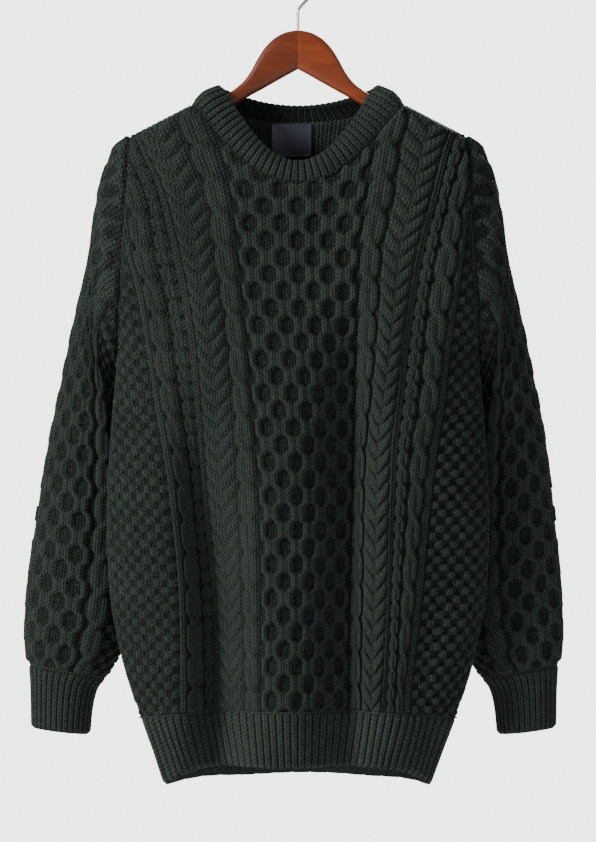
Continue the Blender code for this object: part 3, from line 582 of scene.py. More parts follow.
def hem_band(name, front):
    """The rib band under a panel."""
    place = np.linspace(0, HEM_RIBS, HEM_RIBS * RIB_POINTS + 1)
    u = mix(-1.0, 1.0, place / HEM_RIBS)[None]
    share = np.linspace(0, 1, HEM_ROWS)[:, None]
    ridge = ribs(place)[None]
    bottom = hem_bottom_z(front, u) - HEM_SCALLOP * ridge
    top = hem_top_z(u) + HEM_LAP
    z = mix(bottom, top, share)
    fade = ease(z, bottom, bottom + 0.003) * ease(top - z, 0.0, 0.004) * ease(1 - np.abs(u), 0, 0.02)
    sway = HEM_SWAY * np.sin(17 * u + 3 * share) * fade
    lift = RIB_HIGH * ridge * fade
    curl = HEM_CURL * (1 - ease(z, bottom, bottom + 0.004))
    tuck = HEM_TUCK * ease(z, top - 0.003, top)
    outer = body_point(front, u, z, inset=-(lift + sway - curl - tuck))
    inner = body_point(front, u, z, inset=WALL)
    across, up = np.broadcast_arrays(place[None] * WALE, z)
    return cloth_wall(name, outer, inner, across, up, lift / CELL_HIGH)


hem_front_cloth = hem_band("hem_front_cloth", True)
hem_back_cloth = hem_band("hem_back_cloth", False)

# %% [markdown]
# ## Sleeves and cuffs
# A sleeve is a tapering tube, knitted flat and sewn along its underside. On the hanger it falls
# straight down behind the body, so its upper end turns out of the armhole like an elbow. It is
# lofted through rings: each row gives a ring's outer and inner edge, its depth and how pointed it
# is. Columns run along the sleeve at equal shares of the round, so its cables keep their width.

# %% Sleeve tables
SLEEVE = (
    # out_x, out_z, in_x, in_z, y, half, point
    (0.1703, -0.1784, 0.1843, -0.3980, -0.0120, 0.0340, 2.0),
    (0.1860, -0.1905, 0.1890, -0.4080, -0.0060, 0.0350, 1.6),
    (0.1965, -0.2190, 0.1915, -0.4220, 0.0030, 0.0350, 1.3),
    (0.2080, -0.2850, 0.1900, -0.4420, 0.0150, 0.0350, 1.1),
    (0.2230, -0.3500, 0.1830, -0.4720, 0.0260, 0.0350, 1.0),
    (0.2460, -0.4450, 0.1730, -0.5260, 0.0380, 0.0345, 1.0),
    (0.2640, -0.5500, 0.1660, -0.5980, 0.0430, 0.0340, 1.0),
    (0.2740, -0.6350, 0.1680, -0.6620, 0.0400, 0.0340, 1.0),
    (0.2765, -0.6950, 0.1800, -0.7080, 0.0350, 0.0320, 1.0),
    (0.2740, -0.7220, 0.1950, -0.7360, 0.0320, 0.0280, 1.0),
)
CUFF = (
    (0.2739, -0.7224, 0.1953, -0.7364, 0.0320, 0.0278, 1.0),
    (0.2725, -0.7360, 0.2050, -0.7480, 0.0310, 0.0235, 1.0),
    (0.2715, -0.7600, 0.2105, -0.7700, 0.0300, 0.0215, 1.0),
    (0.2710, -0.7890, 0.2130, -0.7960, 0.0290, 0.0210, 1.0),
)
SLEEVE_YAW = ((0, 0.0), (1, 0.22), (2, 0.36), (3, 0.35), (4, 0.25), (5, 0.14), (6, 0.06), (7, 0.0))
SLEEVE_DRIFT = -0.0045
SLEEVE_CELLS = 3
CELL_SHARE = 0.100
ROPE_SHARE = 0.082
PANEL_TURN = 0.13            # the honeycomb's middle lies this share of a turn to the front
SLEEVE_ROUND = 46 * WALE     # an average length round the sleeve, a whole number of stitches
SLEEVE_ROPE_HIGH = 0.0046
SLEEVE_CREASE = 0.0012
END_SHARE = 0.7              # over this much of the last ring, the relief turns into the ring's plane
SLEEVE_COLUMNS = 144
SLEEVE_ROWS = 318
CUFF_RIBS = 30
CUFF_ROWS = 30
CUFF_RIB_HIGH = 0.0020
CUFF_CURL = 0.0010

# %% Rings of a sleeve


def sleeve_surface(rows, side, where, angle):
    """Points of a sleeve's face, at a place along its rings and an angle round them."""
    keys = list(range(len(rows)))
    out_x, out_z, in_x, in_z, y, half, point = (
        smooth_through(keys, [row[c] for row in rows], where) for c in range(7))
    across = np.cos(angle) / 2
    x = (out_x + in_x) / 2 + (out_x - in_x) * across
    z = (out_z + in_z) / 2 + (out_z - in_z) * across
    bow = half * np.sign(np.sin(angle)) * np.abs(np.sin(angle)) ** point
    yaw = table(SLEEVE_YAW, 1, where) if rows is SLEEVE else 0.0
    drift = SLEEVE_DRIFT * ease(-z, 0.42, 0.70)
    return np.stack([side * (x + bow * np.sin(yaw)) + drift, y - bow * np.cos(yaw), z], axis=-1)


def sleeve_grid(rows, side, columns, count):
    """Points, directions out, and place up and round, for a grid over a sleeve or cuff."""
    last = len(rows) - 1
    levels = np.linspace(last, 0, 121)
    turns = np.arange(columns) / columns
    circle = np.linspace(0, 2 * np.pi, 361)
    angles = []
    for level in levels:
        edge_a = sleeve_surface(rows, 1, level, np.array(0.0))
        edge_b = sleeve_surface(rows, 1, level, np.array(np.pi))
        half = smooth_through(range(len(rows)), [row[5] for row in rows], level)
        reach = (np.linalg.norm(edge_a - edge_b) / 2 + half) / 2
        lengths = np.concatenate(([0.0], np.cumsum(np.hypot(
            np.diff(reach * np.cos(circle)), np.diff(half * np.sin(circle))))))
        angles.append(np.interp(turns, lengths / lengths[-1], circle))
    angles = np.array(angles)
    points = sleeve_surface(rows, side, levels[:, None], angles)
    lengths = np.concatenate([np.zeros((1, columns)),
                              np.cumsum(np.linalg.norm(np.diff(points, axis=0), axis=2), axis=0)])
    up = np.linspace(0, 1, count)[:, None] * lengths[-1]
    where = np.array([np.interp(up[:, c], lengths[:, c], levels) for c in range(columns)]).T
    angle = np.array([np.interp(up[:, c], lengths[:, c], angles[:, c]) for c in range(columns)]).T
    points = sleeve_surface(rows, side, where, angle)
    out = np.cross(np.roll(points, -1, 1) - np.roll(points, 1, 1), np.gradient(points, axis=0))
    out = sum(np.roll(out, step, 1) for step in range(-5, 6))
    middle = points.mean(axis=1, keepdims=True)
    if np.sum(out * (points - middle)) < 0:
        out = -out
    out /= np.linalg.norm(out, axis=2, keepdims=True)
    plane = np.cross(points[:, columns // 4] - points[:, 3 * columns // 4],
                     points[:, 0] - points[:, columns // 2])
    plane = (plane / np.linalg.norm(plane, axis=1, keepdims=True))[:, None]
    ends = 1 - np.clip(np.minimum(where, last - where) / END_SHARE, 0, 1)
    out = out - plane * np.sum(out * plane, axis=2, keepdims=True) * ends[..., None]
    out /= np.linalg.norm(out, axis=2, keepdims=True)
    return points, out, up, np.broadcast_to(turns, up.shape), lengths[-1]


# %% Knit the sleeves


def sleeve_relief(turn, up):
    """Height of the knit on a sleeve, up counted in metres from the cuff."""
    place = (turn - PANEL_TURN + 0.5) % 1.0 - 0.5
    away = np.abs(place)
    half = SLEEVE_CELLS * CELL_SHARE / 2
    cells = honeycomb((place + half) / CELL_SHARE, up / CELL_LENGTH)
    height = np.where(away < half, CELL_HIGH * cells * ease(half - away, 0, 0.014), 0)
    across = (away - half - ROPE_SHARE / 2) / (ROPE_SHARE / 2)
    cable = SLEEVE_ROPE_HIGH * rope(across / ROPE_FILL, up / CELL_LENGTH, np.sign(place))
    height = np.where(np.abs(across) < 1, cable, height)
    start = half + ROPE_SHARE
    check = basket((away - start) * SLEEVE_ROUND / BASKET_WIDTH, up / BASKET_HEIGHT)
    return np.where(away > start, BASKET_HIGH * 0.8 * check, height)


def sleeve_cloth(name, side):
    """A sleeve as a closed wall."""
    points, out, up, turn, total = sleeve_grid(SLEEVE, side, SLEEVE_COLUMNS, SLEEVE_ROWS)
    fade = ease(up, 0, HEM_FADE) * ease(total - up, 0.0015, SEAM_FADE + 0.002)
    lift = sleeve_relief(turn, up) * fade
    crease = SLEEVE_CREASE * np.sin(31 * up + 9 * turn) * np.sin(2 * np.pi * (turn + 1.7 * up)) * fade
    outer = points + out * (lift + crease)[..., None]
    inner = points - out * WALL
    return cloth_wall(name, outer, inner, turn * SLEEVE_ROUND, up, lift / CELL_HIGH, closed=True)


def cuff_cloth(name, side):
    """A cuff as a closed ribbed wall."""
    points, out, up, turn, total = sleeve_grid(CUFF, side, CUFF_RIBS * RIB_POINTS, CUFF_ROWS)
    ridge = ribs(turn * CUFF_RIBS)
    fade = ease(up, 0, 0.003) * ease(total - up, 0, 0.006)
    lift = CUFF_RIB_HIGH * ridge * fade
    curl = CUFF_CURL * (1 - ease(up, 0, 0.004))
    outer = points + out * (lift - curl)[..., None]
    inner = points - out * WALL
    return cloth_wall(name, outer, inner, turn * CUFF_RIBS * WALE, up, lift / CELL_HIGH, closed=True)


sleeves = {}
cuffs = {}
for word, side in (("left", -1), ("right", 1)):
    sleeves[word] = sleeve_cloth("sleeve_cloth_" + word, side)
    cuffs[word] = cuff_cloth("cuff_cloth_" + word, side)

# %% [markdown]
# ## The collar
# The neck band is ribbed, folded double and sewn down inside, so it is thick and its folded edge is
# round. Its grid runs round the neck one way and round the band's section the other, like a ring
# pressed flat, which leaves no open edge to close.

# %% Collar
COLLAR_RIBS = 70
COLLAR_THICK = 0.0048
COLLAR_UNDER_SIDE = 0.0012   # the band's lower edge laps the neck edge by this much
COLLAR_UNDER_FRONT = 0.0042
COLLAR_EDGE_HALF = 0.078
COLLAR_EDGE_Z = -0.1300
COLLAR_FRONT_DROP = 0.0770
COLLAR_BACK_DROP = 0.0160
COLLAR_FRONT_Y = -0.0330
COLLAR_BACK_Y = 0.0160
COLLAR_BULGE = 0.0012
COLLAR_RIB_HIGH = 0.0024
COLLAR_FOLD = 0.075          # share of the band's height that its rounded fold takes
COLLAR_HEIGHT = 0.027        # its mean height, for the size of its stitches


def neck_seam(angle):
    """Points of the neck seam: the front half has a positive sine."""
    x = NECK_HALF * np.cos(angle)
    result = np.zeros((len(angle), 3))
    for front in (True, False):
        pick = (np.sin(angle) >= 0) == front
        z = top_z(front, x[pick])
        result[pick] = body_point(front, x[pick] / half_width(z), z)
    return result


def neck_edge(angle):
    """Points of the collar's folded edge."""
    front = np.sin(angle) >= 0
    rise = np.sin(angle) ** 2
    drop = np.where(front, COLLAR_FRONT_DROP * rise ** NECK_POWER, COLLAR_BACK_DROP * rise)
    reach = np.where(front, COLLAR_FRONT_Y, COLLAR_BACK_Y)
    x = COLLAR_EDGE_HALF * np.cos(angle)
    y = middle_y(x) + (reach - middle_y(0.0)) * np.sqrt(rise)
    return np.stack([x, y, COLLAR_EDGE_Z - drop], axis=-1)


def collar_section():
    """Points round the band's section: share up the band, lift from its inner face, rib height."""
    mouth = COLLAR_THICK * 0.8 / 2
    fold = 1 - COLLAR_FOLD
    up = np.linspace(0, fold, 22)
    thick = COLLAR_THICK * mix(0.10, 1.0, ease(up, 0, 0.5)) * mix(1.0, 0.8, up)
    outer = np.stack([up, thick, ease(up, 0.0, 0.16)], axis=1)
    bend = np.linspace(np.pi / 2, -np.pi / 2, 11)[1:-1]
    edge = np.stack([fold + COLLAR_FOLD * np.cos(bend), mouth + mouth * np.sin(bend),
                     0.35 + 0.65 * np.clip(np.sin(bend), 0, 1)], axis=1)
    inner = np.stack([up[::-2], np.zeros(11), np.full(11, -0.35)], axis=1)
    return np.concatenate([outer, edge, inner])


def collar_cloth(name):
    """The folded rib band as one closed ring."""
    count = COLLAR_RIBS * RIB_POINTS
    fine = np.linspace(0, 2 * np.pi, 1441)
    line = (neck_seam(fine) + neck_edge(fine)) / 2
    length = np.concatenate([[0], np.cumsum(np.linalg.norm(np.diff(line, axis=0), axis=1))])
    turn = np.arange(count) / count
    angle = np.interp(turn * length[-1], length, fine)
    seam, edge = neck_seam(angle), neck_edge(angle)
    up = edge - seam
    length = np.linalg.norm(up, axis=1, keepdims=True)
    step = 0.01
    along = (neck_seam(angle + step) + neck_edge(angle + step)
             - neck_seam(angle - step) - neck_edge(angle - step))
    outward = np.cross(up, along)
    outward = sum(np.roll(outward, k, 0) for k in range(-9, 10))
    outward /= np.linalg.norm(outward, axis=1, keepdims=True)
    section = collar_section()
    share, lift, rib = (section[:, c][:, None] for c in range(3))
    under = mix(COLLAR_UNDER_SIDE, COLLAR_UNDER_FRONT, np.clip(np.sin(angle), 0, 1) ** 2)
    start = -(under / length.T)
    share = start + (1 - start) * share
    ridge = ribs(turn * COLLAR_RIBS)[None]
    high = lift + COLLAR_RIB_HIGH * ridge * rib
    bulge = COLLAR_BULGE * np.sin(np.pi * np.clip(share, 0, 1) ** 1.25)
    points = seam[None] + up[None] * share[..., None] + outward[None] * (high + bulge)[..., None]
    rows = len(section)
    index = np.arange(rows * count).reshape(rows, count)
    index = np.concatenate([index, index[:1]], axis=0)
    across = np.broadcast_to(turn * COLLAR_RIBS * WALE, share.shape)
    piece = new_piece(name, points.reshape(-1, 3), grid_quads(index, True), across.ravel(),
                      (share * COLLAR_HEIGHT).ravel(), (ridge * np.clip(rib, 0, 1) * 0.5).ravel())
    print(name, len(piece.data.polygons), "faces")
    return piece


collar_band = collar_cloth("collar_cloth")

# %% [markdown]
# ## Label
# A woven satin label with its ends turned under, sewn flat to the back of the neck. It is a thin
# slip of cloth: a slightly raised border stands for the folded edge, and its face is left bare.

# %% Label
LABEL_LEFT = -0.0278
LABEL_RIGHT = 0.0144
LABEL_TOP = -0.1630
LABEL_BOTTOM = -0.1970
LABEL_THICK = 0.0008
LABEL_COLUMNS = 61
LABEL_ROWS = 49
LABEL_BORDER = 0.0012        # the turned edge's ridge lies this far in
LABEL_RIDGE = 0.00035
LABEL_BUCKLE = 0.0002


def label_cloth(name):
    """The label: its face with a turned edge, and a flat back."""
    x = np.linspace(LABEL_LEFT, LABEL_RIGHT, LABEL_COLUMNS)[None]
    z = np.linspace(LABEL_BOTTOM, LABEL_TOP, LABEL_ROWS)[:, None]
    x, z = np.broadcast_arrays(x, z)
    u = x / (half_width(z) - WALL)
    edge = np.minimum(x - LABEL_LEFT, LABEL_RIGHT - x)
    edge = np.minimum(edge, np.minimum(z - LABEL_BOTTOM, LABEL_TOP - z))
    raise_up = LABEL_RIDGE * np.exp(-((edge - LABEL_BORDER) / (LABEL_BORDER / 2)) ** 2)
    buckle = LABEL_BUCKLE * np.sin(260 * x + 90 * z) * ease(edge, 0, 0.004)
    face = body_point(False, u, z, inset=WALL + SEAM + LABEL_THICK + raise_up + buckle)
    back = body_point(False, u, z, inset=np.full(x.shape, WALL + SEAM))
    return cloth_wall(name, face, back, x, z, np.zeros(x.shape))


label_piece = label_cloth("label_cloth")

# %% [markdown]
# ## Hanger
# Two arms are milled from wood, stained, varnished and glued together at the middle, where their
# joint shows. Each arm is a loft through rounded sections. The hook is bent from steel wire and
# plated: an arc over the rail, a slanted run, and a stem that is screwed into the wood.

# %% Hanger arms
ARM = (
    # x, top, bottom, half
    (0.00015, -0.0682, -0.1089, 0.0072),
    (0.0110, -0.0700, -0.1148, 0.0072),
    (0.0225, -0.0754, -0.1213, 0.0071),
    (0.0330, -0.0850, -0.1272, 0.0070),
    (0.0420, -0.0985, -0.1322, 0.0069),
    (0.0490, -0.1115, -0.1360, 0.0068),
    (0.0580, -0.1232, -0.1415, 0.0067),
    (0.0750, -0.1356, -0.1510, 0.0066),
    (0.1080, -0.1532, -0.1680, 0.0064),
    (0.1270, -0.1593, -0.1760, 0.0060),
    (0.1500, -0.1715, -0.1870, 0.0056),
    (0.1620, -0.1795, -0.1910, 0.0048),
    (0.1655, -0.1840, -0.1900, 0.0030),
)
ARM_SIDES = 40
ARM_STATIONS = 90
ARM_ROUND = 0.75             # below 1 the section's corners fill out towards a square
ARM_START_ROUND = 0.0002     # the joint's edges are broken by this much
JOINT_GAP_HALF = 0.000002    # the arms meet in a glued joint that lets no light through
ARM_SHARP = np.radians(35)   # edges with a wider turn than this stay crisp


def loft(name, rings):
    """A closed solid through rings of points, with flat ends and crisp edges round them."""
    rows, count = rings.shape[:2]
    index = np.arange(rows * count).reshape(rows, count)
    first, last = index[0].tolist(), index[-1].tolist()
    after = [(k + 1) % count for k in range(count)]
    faces = grid_quads(index, True)
    faces += [(first[after[k]], first[k], rows * count) for k in range(count)]
    faces += [(last[k], last[after[k]], rows * count + 1) for k in range(count)]
    centres = np.stack([rings[0].mean(axis=0), rings[-1].mean(axis=0)])
    piece = new_piece(name, np.concatenate([rings.reshape(-1, 3), centres]), faces)
    piece.data.set_sharp_from_angle(angle=ARM_SHARP)
    print(name, len(piece.data.polygons), "faces")
    return piece


def hanger_arm(name, side):
    """One arm of the hanger."""
    keys = [row[0] for row in ARM]
    x = np.concatenate([[JOINT_GAP_HALF], np.linspace(0.001, ARM[-1][0], ARM_STATIONS)])
    top, bottom, half = (smooth_through(keys, [row[c] for row in ARM], x) for c in (1, 2, 3))
    broken = ARM_START_ROUND * (1 - ease(x, 0, 0.0015))
    angle = 2 * np.pi * np.arange(ARM_SIDES) / ARM_SIDES
    out = np.sign(np.sin(angle)) * np.abs(np.sin(angle)) ** ARM_ROUND
    up = np.sign(np.cos(angle)) * np.abs(np.cos(angle)) ** ARM_ROUND
    y = middle_y(x)[:, None] + (half - broken)[:, None] * out
    z = ((top + bottom) / 2)[:, None] + ((top - bottom) / 2 - broken)[:, None] * up
    return loft(name, np.stack([np.broadcast_to(side * x[:, None], y.shape), y, z], axis=-1))


arms = {word: hanger_arm("hanger_wood_" + word, side) for word, side in (("left", -1), ("right", 1))}

# %% Hook
WIRE_RADIUS = 0.0017
HOOK_RADIUS = 0.020
HOOK_CENTRE_Z = -0.0183
HOOK_START = np.radians(188)
HOOK_END = np.radians(-45)
HOOK_BEND_Z = -0.0466
WOOD_TOP_Z = -0.0682
WIRE_SIDES = 20


def hook_line():
    """Points of the wire's middle: the arc, then a slanted run that bends into the stem."""
    turn = np.linspace(HOOK_START, HOOK_END, 72)
    arc = np.stack([HOOK_RADIUS * np.cos(turn), HOOK_CENTRE_Z + HOOK_RADIUS * np.sin(turn)], axis=1)
    x, z = arc[-1]
    slant = x - (z - HOOK_BEND_Z)
    corners = np.array([(x, z), (mix(x, slant, 0.8), mix(z, HOOK_BEND_Z, 0.8)),
                        (slant * 0.45, HOOK_BEND_Z - 0.0012), (0.0, HOOK_BEND_Z - 0.0058),
                        (0.0, WOOD_TOP_Z + SEAM)])
    place = np.linspace(0, len(corners) - 1, 49)[1:]
    run = np.stack([np.interp(place, range(len(corners)), corners[:, c]) for c in range(2)], axis=1)
    line = np.concatenate([arc, run])
    middle = line[60:-12].copy()
    for _ in range(14):
        middle[1:-1] = (middle[:-2] + 2 * middle[1:-1] + middle[2:]) / 4
    line[60:-12] = middle
    return line


def hook_wire(name):
    """The wire, swept along its line, with a rounded end."""
    line = hook_line()
    along = np.gradient(line, axis=0)
    along /= np.linalg.norm(along, axis=1, keepdims=True)
    across = np.stack([along[:, 1], -along[:, 0]], axis=1)
    angle = 2 * np.pi * np.arange(WIRE_SIDES) / WIRE_SIDES
    radius = np.full(len(line), WIRE_RADIUS)
    radius[:3] = WIRE_RADIUS * np.array([0.55, 0.85, 0.97])
    flat = across[:, None, :] * (radius[:, None] * np.cos(angle))[..., None]
    x = line[:, None, 0] + flat[..., 0]
    z = line[:, None, 1] + flat[..., 1]
    return loft(name, np.stack([x, radius[:, None] * np.sin(angle), z], axis=-1))


hook_piece = hook_wire("hook_wire_bent")

# %% [markdown]
# ## Finishes
# The wool is spun from dyed fibres of several colours, so a strand that looks dark green is flecked
# with tan and teal. Its colour also holds painted shade, darker in the pits, grooves and gaps between
# stitches. Every finish is built from small shader groups that give only colours, masks and heights,
# and each material keeps its own Principled shader.

# %% Helpers for shader trees


class Tree:
    """A node tree with short ways to add maths, mixes and noise."""

    def __init__(self, tree):
        self.tree = tree

    def node(self, kind, inputs=None, **settings):
        """A node with these settings, and its inputs fed by name or number."""
        made = self.tree.nodes.new(kind)
        for key, value in settings.items():
            setattr(made, key, value)
        for key, value in (inputs or {}).items():
            self.feed(made.inputs[key], value)
        return made

    def feed(self, socket, value):
        if isinstance(value, bpy.types.NodeSocket):
            self.tree.links.new(value, socket)
        elif value is not None:
            socket.default_value = value

    def math(self, operation, a, b=None, c=None, clamp=False):
        made = self.node("ShaderNodeMath", operation=operation, use_clamp=clamp)
        for socket, value in zip(made.inputs, (a, b, c)):
            self.feed(socket, value)
        return made.outputs[0]

    def mix(self, share, a, b, blend="MIX"):
        made = self.node("ShaderNodeMix", data_type="RGBA", blend_type=blend)
        for name, value in (("Factor_Float", share), ("A_Color", a), ("B_Color", b)):
            socket = next(s for s in made.inputs if s.identifier == name)
            if isinstance(value, tuple) and len(value) == 3:
                value = (*value, 1.0)
            self.feed(socket, value)
        return next(s for s in made.outputs if s.identifier == "Result_Color")

    def spread(self, value, low, high, start=0.0, end=1.0):
        made = self.node("ShaderNodeMapRange", interpolation_type="SMOOTHSTEP")
        for socket, item in zip(made.inputs, (value, low, high, start, end)):
            self.feed(socket, item)
        return made.outputs[0]

    def noise(self, vector, scale, detail=2.0, rough=0.5):
        return self.node("ShaderNodeTexNoise", {
            "Vector": vector, "Scale": scale, "Detail": detail, "Roughness": rough}).outputs[0]

    def stretch(self, vector, scale):
        return self.node("ShaderNodeVectorMath", {0: vector, 1: scale}, operation="MULTIPLY").outputs[0]

    def split(self, vector):
        return self.node("ShaderNodeSeparateXYZ", {0: vector}).outputs

    def place(self):
        """The place on the object, in metres."""
        return self.node("ShaderNodeTexCoord").outputs["Object"]

    def knit_place(self):
        """The place across and up the knitted cloth, in metres."""
        return self.split(self.node("ShaderNodeUVMap", uv_map="knit").outputs[0])

    def blend_of(self, first, second, share=0.75):
        """Two values added, the first with this share."""
        second = self.math("MULTIPLY", second, 1 - share)
        return self.math("ADD", self.math("MULTIPLY", first, share), second)

    def group(self, made, **values):
        node = self.node("ShaderNodeGroup")
        node.node_tree = made
        for key, value in values.items():
            self.feed(node.inputs[key.replace("_", " ").capitalize()], value)
        return node.outputs


def shader_group(name, inputs, outputs):
    """An empty shader group with named sockets: its tree, its inputs and its output node."""
    made = bpy.data.node_groups.new(name, "ShaderNodeTree")
    for word, kind, value in inputs:
        socket = made.interface.new_socket(word, in_out="INPUT", socket_type="NodeSocket" + kind)
        if value is not None:
            socket.default_value = value
    for word, kind in outputs:
        made.interface.new_socket(word, in_out="OUTPUT", socket_type="NodeSocket" + kind)
    tree = Tree(made)
    return made, tree, tree.node("NodeGroupInput").outputs, tree.node("NodeGroupOutput").inputs


# %% [markdown]
# Stocking stitch is columns of V's. Each leg of a V is a loop's side: a slanted, rounded bulge. The
# group gives their height from the place across and up the cloth, in metres, so that the bump has
# the size of the real stitches.

# %% Stitch group
knit_group, tree, given, result = shader_group(
    "knit stitches",
    (("Across", "Float", 0.0), ("Up", "Float", 0.0),
     ("Wale", "Float", WALE), ("Course", "Float", COURSE)),
    (("Height", "Float"),))
column = tree.math("DIVIDE", given["Across"], given["Wale"])
column = tree.math("SUBTRACT", tree.math("FRACT", column), 0.5)
side = tree.math("ABSOLUTE", column)
row = tree.math("DIVIDE", given["Up"], given["Course"])
row = tree.math("FRACT", tree.math("SUBTRACT", row, tree.math("MULTIPLY", side, 1.7)))
leg = tree.math("MULTIPLY", tree.math("SUBTRACT", side, 0.25), 3.7)
leg = tree.math("SUBTRACT", 1.0, tree.math("MULTIPLY", leg, leg), clamp=True)
loop = tree.math("MULTIPLY", tree.math("SUBTRACT", row, 0.5), 2.0)
loop = tree.math("SUBTRACT", 1.0, tree.math("MULTIPLY", loop, loop), clamp=True)
loop = tree.math("ADD", tree.math("MULTIPLY", loop, 0.6), 0.4)
tree.feed(result["Height"], tree.math("MULTIPLY", tree.math("SQRT", leg), loop))
print("stitch group:", len(knit_group.nodes), "nodes")

# %% Heather and painted shade group
heather_and_shade_group, tree, given, result = shader_group(
    "heathered yarn with painted shade",
    (("Vector", "Vector", None), ("Raised", "Float", 0.5), ("Stitch", "Float", 0.5),
     ("Dark", "Color", (0.0007, 0.0009, 0.0009, 1)),
     ("Light", "Color", (0.0235, 0.0300, 0.0268, 1))),
    (("Color", "Color"), ("Fibre", "Float")))
strand = tree.noise(given["Vector"], 420.0, 3.0, 0.65)
cloud = tree.noise(given["Vector"], 26.0, 2.0, 0.5)
tone = tree.blend_of(strand, cloud)
tone = tree.spread(tone, 0.34, 0.66, 0.55, 1.0)
# Painted shade: the lower the relief (pits, grooves beside the cables, inner faces), the darker the
# colour, down towards the near-black Dark colour.
tone = tree.math("MULTIPLY", tone, tree.spread(given["Raised"], 0.0, 0.45, 0.45, 1.0))
# Painted shade: the gaps between the legs of each stitch are darkened in the colour, down to a tenth.
tone = tree.math("MULTIPLY", tone, tree.spread(given["Stitch"], 0.05, 0.85, 0.10, 1.0))
colour = tree.mix(tone, given["Dark"], given["Light"])
for stretch, scale, start, full, fleck in (
        ((1.0, 1.0, 0.55), 640.0, 0.63, 0.70, (0.008, 0.036, 0.036)),       # teal flecks
        ((0.9, 1.1, 0.6), 530.0, 0.655, 0.72, (0.042, 0.034, 0.022))):      # tan flecks
    spots = tree.noise(tree.stretch(given["Vector"], stretch), scale, 1.0)
    colour = tree.mix(tree.spread(spots, start, full, 0.0, 0.75), colour, fleck)
tree.feed(result["Color"], colour)
tree.feed(result["Fibre"], strand)
print("heather group:", len(heather_and_shade_group.nodes), "nodes")

# %% Materials


def new_material(name, **constants):
    """A material whose Principled shader has these constants: its tree and that shader."""
    made = bpy.data.materials.new(name)
    made.use_nodes = True
    shader = made.node_tree.nodes["Principled BSDF"]
    for key, value in constants.items():
        word = {"ior_level": "Specular IOR Level"}.get(key, key.replace("_", " ").title())
        shader.inputs[word].default_value = value
    return made, Tree(made.node_tree), shader


def wool(name, wale, course, bump):
    """Heathered wool in stitches of this size, read from the cloth's own knit map, with painted shade in
    its low places.
    """
    made, tree, shader = new_material(name, roughness=0.92, ior_level=0.08, sheen_weight=0.03,
                                      sheen_roughness=0.45, sheen_tint=(0.62, 0.80, 0.72, 1.0))
    place = tree.knit_place()
    stitch = tree.group(knit_group, across=place[0], up=place[1], wale=wale, course=course)["Height"]
    raised = tree.node("ShaderNodeAttribute", attribute_name="raised").outputs["Fac"]
    yarn = tree.group(heather_and_shade_group, vector=tree.place(), raised=raised, stitch=stitch)
    tree.feed(shader.inputs["Base Color"], yarn["Color"])
    height = tree.math("ADD", stitch, tree.math("MULTIPLY", yarn["Fibre"], 0.35))
    surface = tree.node("ShaderNodeBump", {"Distance": bump, "Strength": 1.0, "Height": height})
    tree.feed(shader.inputs["Normal"], surface.outputs[0])
    return made


wool_material = wool("wool cable knit", WALE, COURSE, 0.0022)
rib_material = wool("wool rib knit", WALE, COURSE, 0.0016)

# %% Yarn
yarn_material, tree, shader = new_material(
    "single yarn", roughness=0.9, ior_level=0.1, sheen_weight=0.03)
yarn = tree.group(heather_and_shade_group, vector=tree.place(), raised=0.7, stitch=0.75)
tree.feed(shader.inputs["Base Color"], yarn["Color"])

# %% Wood, wire and satin


def wood(name, dark, light):
    """Varnished wood with a grain that runs along the arm."""
    made, tree, shader = new_material(
        name, roughness=0.40, ior_level=0.25, coat_weight=0.08, coat_roughness=0.20)
    where = tree.place()
    grain = tree.noise(tree.stretch(where, (14.0, 160.0, 120.0)), 1.0, 4.0, 0.6)
    pore = tree.noise(tree.stretch(where, (60.0, 900.0, 900.0)), 1.0, 2.0, 0.5)
    tone = tree.spread(tree.blend_of(grain, pore), 0.36, 0.64)
    tree.feed(shader.inputs["Base Color"], tree.mix(tone, dark, light))
    return made


# Painted shade and painted light: one wood in two copies, the left arm's darker and the right arm's
# lighter, as the key light from the left falls on them.
wood_left_painted_shade = wood("varnished wood left painted shade", (0.068, 0.0115, 0.0020), (0.100, 0.0175, 0.0032))
wood_right_painted_light = wood("varnished wood right painted light", (0.105, 0.0175, 0.0030), (0.146, 0.0255, 0.0045))

wire_material, tree, shader = new_material("plated wire", metallic=1.0, roughness=0.22)
tree.feed(shader.inputs["Base Color"], tree.mix(
    tree.spread(tree.noise(tree.place(), 300.0), 0.3, 0.7), (0.36, 0.36, 0.37), (0.44, 0.44, 0.45)))

satin_material, tree, shader = new_material(
    "woven satin", roughness=0.42, ior_level=0.5, sheen_weight=0.2)
place = tree.knit_place()
warp = tree.math("FRACT", tree.math("MULTIPLY", place[0], 2600.0))
weft = tree.math("FRACT", tree.math("MULTIPLY", place[1], 1700.0))
thread = tree.math("MULTIPLY", tree.math("PINGPONG", warp, 0.5), tree.math("PINGPONG", weft, 0.5))
tree.feed(shader.inputs["Base Color"], tree.mix(
    tree.spread(thread, 0.0, 0.25), (0.006, 0.009, 0.018), (0.015, 0.022, 0.040)))
surface = tree.node("ShaderNodeBump", {"Distance": 0.0001, "Height": thread})
tree.feed(shader.inputs["Normal"], surface.outputs[0])


def paint(piece, material):
    """Give a piece this material alone."""
    piece.data.materials.clear()
    piece.data.materials.append(material)


for piece in (front_cloth, back_cloth, *sleeves.values()):
    paint(piece, wool_material)
for piece in (hem_front_cloth, hem_back_cloth, *cuffs.values(), collar_band):
    paint(piece, rib_material)
paint(label_piece, satin_material)
paint(arms["left"], wood_left_painted_shade)
paint(arms["right"], wood_right_painted_light)
paint(hook_piece, wire_material)

# %% [markdown]
# ## Linking stitches and loose fibres
# The pieces are joined by a row of chain stitches in the same yarn, and wool yarn is never smooth:
# short fibres stand out of it. Both repeat thousands of times, so two small Geometry Nodes trees
# place them, with fixed seeds. The results are turned into plain meshes.

# %% Helpers for geometry trees


